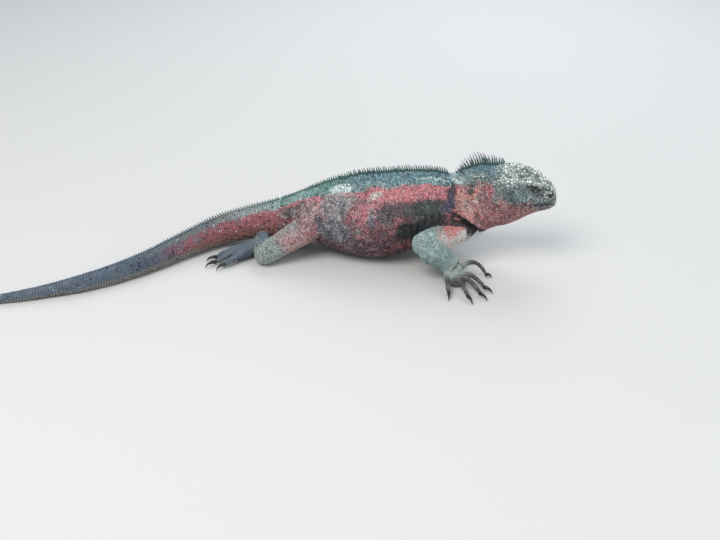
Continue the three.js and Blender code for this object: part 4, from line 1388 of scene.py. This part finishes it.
def hide_material(name):
    if name in bpy.data.materials:
        return bpy.data.materials[name]
    mottle, roughness, bump = FINISHES[name]
    material = bpy.data.materials.new(name)
    material.use_nodes = True
    tree = material.node_tree
    shader = tree.nodes["Principled BSDF"]
    set_inputs(shader, Specular_IOR_Level=0.5)
    if name == "wet_eye":
        set_inputs(shader, Coat_Weight=1.0, Coat_Roughness=0.03)
    paint = node(tree, "ShaderNodeAttribute", attribute_name="hide")
    grain = node(tree, "ShaderNodeGroup", node_tree=hide_grain_group())
    relief = node(tree, "ShaderNodeBump")
    set_inputs(grain, Mottle=mottle, Roughness=roughness)
    set_inputs(relief, Strength=bump, Distance=RELIEF_DEPTH)
    for source, socket, target, into in (
        (paint, "Color", grain, "Color"),
        (grain, "Color", shader, "Base Color"),
        (grain, "Roughness", shader, "Roughness"),
        (grain, "Height", relief, "Height"),
        (relief, "Normal", shader, "Normal"),
    ):
        tree.links.new(source.outputs[socket], target.inputs[into])
    return material


# Crest

SPINE_ROOT = -2.2  # level of a spine's root under the skin
# A spine's outline: shares of its height, and of its width there
SPINE_OUTLINE = ((0, 0.12, 0.5, 0.85, 1), (1.12, 0.92, 0.72, 0.42, 0.1))
# Where along the tail its spines grow and shrink: x, share of their greatest height
TAIL_TALL = ((-600, -370, -300, -240, -190, -150), (0.16, 0.25, 0.7, 1.0, 0.9, 0.65))
CREST_START, CREST_END = 0.6, 17.2  # stations of the trunk and tail between which the crest runs


def spine_rings(foot, back, tall, wide, thick, lean, rings, sides):
    """One spine: oval rings that narrow and lean back to a blunt tip, rooted under the skin."""
    side = np.cross((0, 0, 1), back)
    rise = np.concatenate([[SPINE_ROOT], np.linspace(0.02, 1, rings - 1) * tall])
    share = np.clip(rise / tall, 0, 1)
    width = np.interp(share, *SPINE_OUTLINE)
    c, s = circle(sides)
    centre = foot + np.outer(rise, (0, 0, 1)) + np.outer(lean * 0.6 * tall * share**1.7, back)
    ring = (centre[:, None, :] + (c[None, :, None] * (wide * width / 2)[:, None, None]) * back
            + (s[None, :, None] * (thick * width / 2)[:, None, None]) * side)
    return ring.reshape(-1, 3), tube_faces(rings, sides), np.repeat(share, sides)


def ridge_feet(u0, u1, pitch):
    """Places a pitch apart along the ridge of the back, and the way back from each."""
    fine = np.linspace(u0, u1, 600)
    line = spine_point(fine, np.full(len(fine), 0.25))
    run = run_along(line)
    at = np.arange(pitch * 0.6, run[-1] - pitch * 0.4, pitch)
    feet, ahead = (np.stack([np.interp(at + step, run, part) for part in line.T], axis=1) for step in (0, 1))
    return zip(feet, unit(-(ahead - feet) * (1, 1, 0)))


def crest_parts(seed):
    """Every spine, and on the back and nape a shorter one beside most of them."""
    rng = np.random.default_rng(seed)
    parts = []

    def add(foot, back, tall, table, lean, rings, sides):
        foot = np.asarray(foot, float)
        wide, thick = table["wide"], table["thick"]
        lean = lean + rng.uniform(-0.2, 0.2)
        parts.append(spine_rings(foot, back, tall * rng.uniform(0.84, 1.0), wide, thick, lean, rings, sides))
        if table is not TAIL and rng.random() < 0.8:
            side = np.cross((0, 0, 1), back) * rng.choice((-1, 1)) * rng.uniform(0.7, 1.3)
            beside = foot + side + back * rng.uniform(-1.6, 1.6) - (0, 0, 0.5)
            short = tall * rng.uniform(0.35, 0.7)
            parts.append(spine_rings(beside, back, short, wide * 0.9, thick * 0.8, lean + 0.1, rings, sides))

    for foot, back in ridge_feet(CREST_START, TAIL_ROOT, TAIL["pitch"]):
        add(foot, back, TAIL["tall"] * float(np.interp(foot[0], *TAIL_TALL)), TAIL, TAIL["lean"], 6, 6)
    for foot, back in ridge_feet(TAIL_ROOT, CREST_END, BACK["pitch"]):
        tall = BACK["rump"] + (BACK["shoulder"] - BACK["rump"]) * smoothstep(foot[0], -140, -10)
        tall += (BACK["dip"] - tall) * smoothstep(foot[0], 80, 96)
        add(foot, back, tall, BACK, BACK["lean"], 7, 8)
    nape = neck_point(np.linspace(0, 3, 200), np.full(200, 0.25))
    crown = through(HEAD, np.linspace(0, 3, 200))
    for i in range(NAPE["count"]):
        share = i / (NAPE["count"] - 1)
        x = NAPE["from"] + (NAPE["to"] - NAPE["from"]) * share
        line = nape if x < HEAD[0, 0] else crown
        tall = np.interp(share * (len(NAPE_TALL) - 1), range(len(NAPE_TALL)), NAPE_TALL)
        lean = NAPE["lean"] * (2.2 - 1.9 * share)
        back = unit(np.array((-1, rng.uniform(-0.08, 0.08), 0)))
        foot = (x, rng.uniform(-0.5, 0.5), np.interp(x, line[:, 0], line[:, 2]))
        add(foot, back, tall, NAPE, lean, 10, 10)
    return parts


# Claws

CLAW = {"root": 2.6, "tip": 0.3, "flat": 1.15, "end": 0.9, "floor": 0.05}


def claw_radius(t):
    return CLAW["root"] + (CLAW["tip"] - CLAW["root"]) * t**1.1


def claw_parts():
    for side in SIDES:
        for places, _, digits in LIMBS.values():
            _, _, wrist, heading = places[side]
            for turn, reach, tip, _, _ in digits:
                at = -SIDES[side] * turn
                root = toward(wrist, heading, at, reach - 2.5, TOE_LIFT + 1.3)
                top = toward(wrist, heading, at, reach + (tip - reach) * 0.78, TOE_LIFT + 4.2)
                end = toward(wrist, heading, at, tip, CLAW["end"])
                claw = bent_point(root, top, end, claw_radius, CLAW["flat"])
                yield Form("claw", "claw", claw, DIGIT_RUN, 16, 12, 10).mesh(0)


# Eyes, and the painted shade in the openings of the eyes, nostrils and mouth

EYE_WHITE = (0.03, 0.03, 0.028)
IRIS = (0.052, 0.062, 0.058)
IRIS_RING = (0.085, 0.098, 0.088)
PUPIL = (0.004, 0.004, 0.004)
NOSTRIL_PAINTED_SHADE = (0.006, 0.006, 0.007)
EYE_SLIT_PAINTED_SHADE = (0.02, 0.021, 0.023)
MOUTH_PAINTED_SHADE = (0.012, 0.012, 0.013)
SKIN_PAINTED_SHADE = 0.55  # lightness of the skin between the scales, as a share of theirs: painted shade in the gaps between scales
BALL_RINGS, BALL_SIDES = 40, 48  # the eyeball's mesh
RIM_COUNT, RIM_SIDES = 72, 8  # the mesh of the cord along the lids


def ball_mesh(centre, sign, radius):
    """A ball whose poles face out and in."""
    rings, sides = BALL_RINGS - 2, BALL_SIDES
    c, s = circle(sides)
    pole = np.array((0, sign * radius, 0))
    loops = [centre + (0, sign * radius * math.cos(a), 0)
             + np.stack([c * radius * math.sin(a), np.zeros(sides), s * radius * math.sin(a)], axis=1)
             for a in np.linspace(0, np.pi, BALL_RINGS)[1:-1]]
    points = np.concatenate([[centre + pole], *loops, [centre - pole]])
    faces = []
    for i in range(sides):
        j = (i + 1) % sides
        faces.append((0, 1 + i, 1 + j))
        for a in range(1, 1 + (rings - 1) * sides, sides):
            faces.append((a + i, a + sides + i, a + sides + j, a + j))
        last = 1 + (rings - 1) * sides
        faces.append((last + i, len(points) - 1, last + j))
    return points, faces


def eye_colours(points, centre, sign, radius):
    """Iris with a paler ring round the pupil."""
    look = unit(np.array((0.25, sign, -0.05)))
    angle = np.degrees(np.arccos(np.clip((points - centre) / radius @ look, -1, 1)))
    paint = np.tile(EYE_WHITE, (len(points), 1))
    for colour, mask in ((IRIS, smoothstep(angle, 46, 36) * 0.9), (IRIS_RING, bell(angle, 17, 2.5) * 0.7),
                         (PUPIL, smoothstep(angle, 15.5, 13.5))):
        paint = fade(paint, np.array(colour), mask)
    return paint


def lid_rim(sign, centre):
    """A soft cord along the edge of the eye's opening."""
    along, rise = circle(RIM_COUNT)
    s = LIDS["slit"] * along
    upper, lower = slit_edges(s)
    t = np.where(rise >= 0, upper, lower)
    out = abs(centre[1]) + LIDS["proud"] * np.sqrt(lid_swell(s, t, 1)) - 0.15
    c, k = math.cos(LIDS["tilt"]), math.sin(LIDS["tilt"])
    path = np.stack([centre[0] + s * c - t * k, sign * out, centre[2] + t * c + s * k], axis=1)
    forward = unit(np.roll(path, -1, axis=0) - np.roll(path, 1, axis=0))
    across = unit(np.cross(forward, (0.0, sign, 0.0)))
    outward = np.cross(across, forward)
    radius = 0.5 + 0.3 * smoothstep(rise, -0.2, 0.6)
    ring_c, ring_s = (part[None, :, None] for part in circle(RIM_SIDES))
    ring = ring_c * across[:, None, :] + ring_s * outward[:, None, :]
    points = path[:, None, :] + radius[:, None, None] * ring
    faces = []
    for a in range(RIM_COUNT):
        here, after = a * RIM_SIDES, (a + 1) % RIM_COUNT * RIM_SIDES
        for b in range(RIM_SIDES):
            beside = (b + 1) % RIM_SIDES
            faces.append((here + b, after + b, after + beside, here + beside))
    return points.reshape(-1, 3), faces


# The add-on

class IguanaSizes(bpy.types.PropertyGroup):
    """Sizes of the coat and the draws of the crest and the scales."""

    skin_mesh: bpy.props.FloatProperty(
        name="Skin mesh", description="Width of the skin's mesh", default=0.0015, min=0.001, unit="LENGTH")
    coat_depth: bpy.props.FloatProperty(
        name="Coat depth", description="How deep the skin lies in the solids", default=0.0007, unit="LENGTH")
    crest_seed: bpy.props.IntProperty(
        name="Crest draw", description="Which draw of heights the crest takes", default=11)
    scale_seed: bpy.props.IntProperty(
        name="Scale draw", description="Which draw of places the scales take", default=7)


def palette_group():
    """A property group with one colour for each hide of the palette."""
    notes = {key: bpy.props.FloatVectorProperty(
        name=label, description=f"Colour of the {label.lower()}", subtype="COLOR", size=3, min=0, max=1,
        default=linear(code)) for key, (label, code) in PALETTE.items()}
    parts = {"__doc__": "Colours of the hide, the spines and the claws.", "__annotations__": notes}
    return type("IguanaColours", (bpy.types.PropertyGroup,), parts)


IguanaColours = palette_group()


def chosen_colours():
    held = bpy.context.scene.iguana_colours
    return {key: np.array(getattr(held, key)) for key in PALETTE}


FLESH = [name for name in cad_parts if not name.startswith("eye_")]
grown = {}  # the forms and the scales' roots, which the skin leaves for the scales

# Coat pieces: name, regions, corners of each scale, slot
COAT = (
    ("head_scutes", ("head", "lip"), 8, "pale_hide"),
    ("neck_scales", ("neck",), 6, "teal_hide"),
    ("trunk_scales", ("trunk",), 6, "red_hide"),
    ("tail_scales", ("tail",), 6, "grey_hide"),
    ("arm_scales", ("arm",), 6, "teal_hide"),
    ("leg_scales", ("leg",), 6, "red_hide"),
    ("foot_scales", ("foot", "digit"), 6, "grey_hide"),
)
PIECE_LIMIT = 8200  # scales in one piece

FLOOR = {"size": 7, "grain": 3, "roughness": 0.9, "dark": (0.60, 0.595, 0.58, 1),
         "light": (0.66, 0.655, 0.64, 1)}
# Soft round lights: name, place, size, power, colour
LIGHTS = (
    ("key", (-0.7, -1.2, 1.9), 1.4, 34, (1.0, 0.97, 0.93)),
    ("fill", (1.7, -0.9, 1.1), 1.6, 12, (0.92, 0.96, 1.0)),
    ("rim", (0.2, 1.5, 1.5), 1.5, 20, (0.93, 0.97, 1.0)),
)
LIT_PLACE = (0, 0, 0.05)
SKY = {"color": (0.86, 0.92, 1.0, 1), "strength": 0.55}


class IGUANA_OT_stage(bpy.types.Operator):
    """Lay the pale floor, hang the soft lights and set the camera."""

    bl_idname = "iguana.stage"
    bl_label = "Stage"

    def execute(self, context):
        bpy.ops.mesh.primitive_plane_add(size=FLOOR["size"])
        floor = context.object
        floor.name = "floor"
        material = bpy.data.materials.new("floor")
        material.use_nodes = True
        tree = material.node_tree
        shader = tree.nodes["Principled BSDF"]
        grain = node(tree, "ShaderNodeTexNoise")
        ramp = node(tree, "ShaderNodeValToRGB")
        set_inputs(grain, Scale=FLOOR["grain"])
        set_inputs(shader, Roughness=FLOOR["roughness"])
        for element, colour in zip(ramp.color_ramp.elements, (FLOOR["dark"], FLOOR["light"])):
            element.color = colour
        tree.links.new(grain.outputs["Fac"], ramp.inputs["Fac"])
        tree.links.new(ramp.outputs["Color"], shader.inputs["Base Color"])
        floor.data.materials.append(material)
        for name, place, size, power, tint in LIGHTS:
            light = bpy.data.lights.new(name, "AREA")
            light.shape = "DISK"
            light.size = size
            light.energy = power
            light.color = tint
            lamp = put(name, light)
            lamp.location = place
            lamp.rotation_euler = (Vector(LIT_PLACE) - Vector(place)).to_track_quat("-Z", "Y").to_euler()
        world = bpy.data.worlds.new("studio")
        world.use_nodes = True
        set_inputs(world.node_tree.nodes["Background"], Color=SKY["color"], Strength=SKY["strength"])
        context.scene.world = world
        context.scene.view_settings.view_transform = "Standard"
        lens = bpy.data.cameras.new("camera")
        lens.sensor_width = CAMERA["sensor"]
        lens.lens = CAMERA["lens"]
        lens.clip_start = 0.01
        camera = put("camera", lens)
        camera.location = Vector(CAMERA["at"]) * MM
        camera.rotation_euler = (math.radians(90 - CAMERA["elevation"]), 0, math.radians(CAMERA["azimuth"]))
        context.scene.camera = camera
        return {"FINISHED"}


class IGUANA_OT_skin(bpy.types.Operator):
    """Make the one skin that covers the whole body, with its folds, lids, mouth, nostrils and ears."""

    bl_idname = "iguana.skin"
    bl_label = "Skin"

    def execute(self, context):
        sizes = context.scene.iguana_sizes
        mesh = skin_mesh(sizes)
        forms = body_forms()
        roots = place_roots(mesh, forms, chosen_colours(), sizes.scale_seed)
        grown.update(forms=forms, roots=roots)
        points = vertex_array(mesh)
        tree = search_tree(roots["point"])
        # The skin between the scales takes the paint of its nearest scale, darkened as painted shade in the
        # gaps.
        paint = roots["paint"][[tree.find(p)[1] for p in points]] * SKIN_PAINTED_SHADE
        # Painted shade in each nostril's pit and in the eye's opening under the lids.
        for side, sign in SIDES.items():
            pit = np.linalg.norm(points - np.array(NOSTRIL) * (1, sign, 1), axis=1)
            paint = fade(paint, np.array(NOSTRIL_PAINTED_SHADE), smoothstep(pit, 3.2, 2.4))
            open_eye = in_slit(points, side, 0.35) & (points[:, 1] * sign > LID_MIDLINE)
            paint = fade(paint, np.array(EYE_SLIT_PAINTED_SHADE), open_eye.astype(float))
        # Painted shade along the closed mouth's line.
        gap = np.abs(points[:, 2] - mouth_level(points[:, 0]))
        paint = fade(paint, np.array(MOUTH_PAINTED_SHADE), smoothstep(gap, 1.0, 0.5) * (points[:, 0] > 192))
        set_hide(mesh, np.clip(paint, 0, 1))
        finish_piece(put("skin", mesh), "red_hide", hide_material("bare_hide"), *FLESH)
        return {"FINISHED"}


class IGUANA_OT_scales(bpy.types.Operator):
    """Cover the skin with scales that follow its lie, in pieces by region."""

    bl_idname = "iguana.scales"
    bl_label = "Scales"

    def execute(self, context):
        roots = grown["roots"]
        material = hide_material("scaled_hide")
        for name, regions, corners, slot in COAT:
            own = np.flatnonzero(np.isin(roots["region"], regions))
            own = own[np.argsort(roots["point"][own, 0])]
            pieces = max(1, math.ceil(len(own) / PIECE_LIMIT))
            for number, part in enumerate(np.array_split(own, pieces)):
                chosen = {key: value[part] for key, value in roots.items()}
                scale_piece(f"{name}_{number + 1}", chosen, grown["forms"], corners, slot, material)
        return {"FINISHED"}


class IGUANA_OT_crest(bpy.types.Operator):
    """Set the row of spines from the crown along the back to the end of the tail."""

    bl_idname = "iguana.crest"
    bl_label = "Crest"

    def execute(self, context):
        parts = crest_parts(context.scene.iguana_sizes.crest_seed)
        points, faces = joined_meshes([(p, f) for p, f, _ in parts])
        share = np.concatenate([s for _, _, s in parts])
        points[:, 0] = inside_box(points[:, 0])
        crest = mesh_object("crest", points, faces)
        x = points[:, 0]
        base = Paint(chosen_colours(), points, "spine_teal").over("spine_green", smoothstep(x, -20, -70))
        base.over("tail_grey", smoothstep(x, -150, -200)).over("tail_blue", smoothstep(x, -240, -290))
        tip = fade(base.rgb * 1.5, base.colours["spine_tip"], smoothstep(x, -70, 0))
        paint = fade(base.rgb, tip, smoothstep(share + 0.25 * noise(points, 4, 5), 0.35, 0.95))
        set_hide(crest.data, paint * (1 + 0.3 * noise(points, 2.5, 3))[:, None])
        finish_piece(crest, "teal_hide", hide_material("spine_horn"))
        return {"FINISHED"}


class IGUANA_OT_claws(bpy.types.Operator):
    """Give every digit its dark curved claw."""

    bl_idname = "iguana.claws"
    bl_label = "Claws"

    def execute(self, context):
        points, faces = joined_meshes(claw_parts())
        points[:, 2] = np.maximum(points[:, 2], CLAW["floor"])
        claws = mesh_object("claws", points, faces)
        set_hide(claws.data, Paint(chosen_colours(), points, "horn").rgb)
        finish_piece(claws, "grey_hide", hide_material("claw_horn"))
        return {"FINISHED"}


class IGUANA_OT_eyes(bpy.types.Operator):
    """Set the eyes, each with its iris, pupil and wet surface, under the rims of the lids."""

    bl_idname = "iguana.eyes"
    bl_label = "Eyes"

    def execute(self, context):
        colours = chosen_colours()
        radius = eye_radius()
        for side, sign in SIDES.items():
            centre = eye_centre(side)
            points, faces = ball_mesh(centre, sign, radius)
            ball = mesh_object(f"eyeball_{side}", points, faces)
            set_hide(ball.data, eye_colours(points, centre, sign, radius))
            finish_piece(ball, "eye", hide_material("wet_eye"), f"eye_{side}")
            points, faces = lid_rim(sign, centre)
            rim = mesh_object(f"lid_rim_{side}", points, faces)
            upper = smoothstep(points[:, 2] - centre[2], -0.5, 1.0)
            skin_tone = np.tile(colours["cheek"] * 0.8, (len(points), 1))
            set_hide(rim.data, fade(skin_tone, colours["black_green"], upper))
            finish_piece(rim, "pale_hide", hide_material("bare_hide"))
        return {"FINISHED"}


class IGUANA_PT_sidebar(bpy.types.Panel):
    """Lists the steps that build the animal, and the sizes and colours they use."""

    bl_label = "Marine Iguana"
    bl_idname = "IGUANA_PT_sidebar"
    bl_space_type = "VIEW_3D"
    bl_region_type = "UI"
    bl_category = "Iguana"

    def draw(self, context):
        layout = self.layout
        for key in IguanaSizes.__annotations__:
            layout.prop(context.scene.iguana_sizes, key)
        for key in PALETTE:
            layout.prop(context.scene.iguana_colours, key)
        for step in STEPS:
            layout.operator(step.bl_idname)


STEPS = (IGUANA_OT_stage, IGUANA_OT_skin, IGUANA_OT_scales, IGUANA_OT_crest, IGUANA_OT_claws, IGUANA_OT_eyes)
CLASSES = (IguanaSizes, IguanaColours, *STEPS, IGUANA_PT_sidebar)


def register():
    for cls in CLASSES:
        bpy.utils.register_class(cls)
    bpy.types.Scene.iguana_sizes = bpy.props.PointerProperty(type=IguanaSizes)
    bpy.types.Scene.iguana_colours = bpy.props.PointerProperty(type=IguanaColours)


def unregister():
    del bpy.types.Scene.iguana_colours
    del bpy.types.Scene.iguana_sizes
    for cls in reversed(CLASSES):
        bpy.utils.unregister_class(cls)


def main():
    register()
    bpy.ops.iguana.stage()
    bpy.ops.iguana.skin()
    bpy.ops.iguana.scales()
    bpy.ops.iguana.crest()
    bpy.ops.iguana.claws()
    bpy.ops.iguana.eyes()


if __name__ == "__main__":
    main()
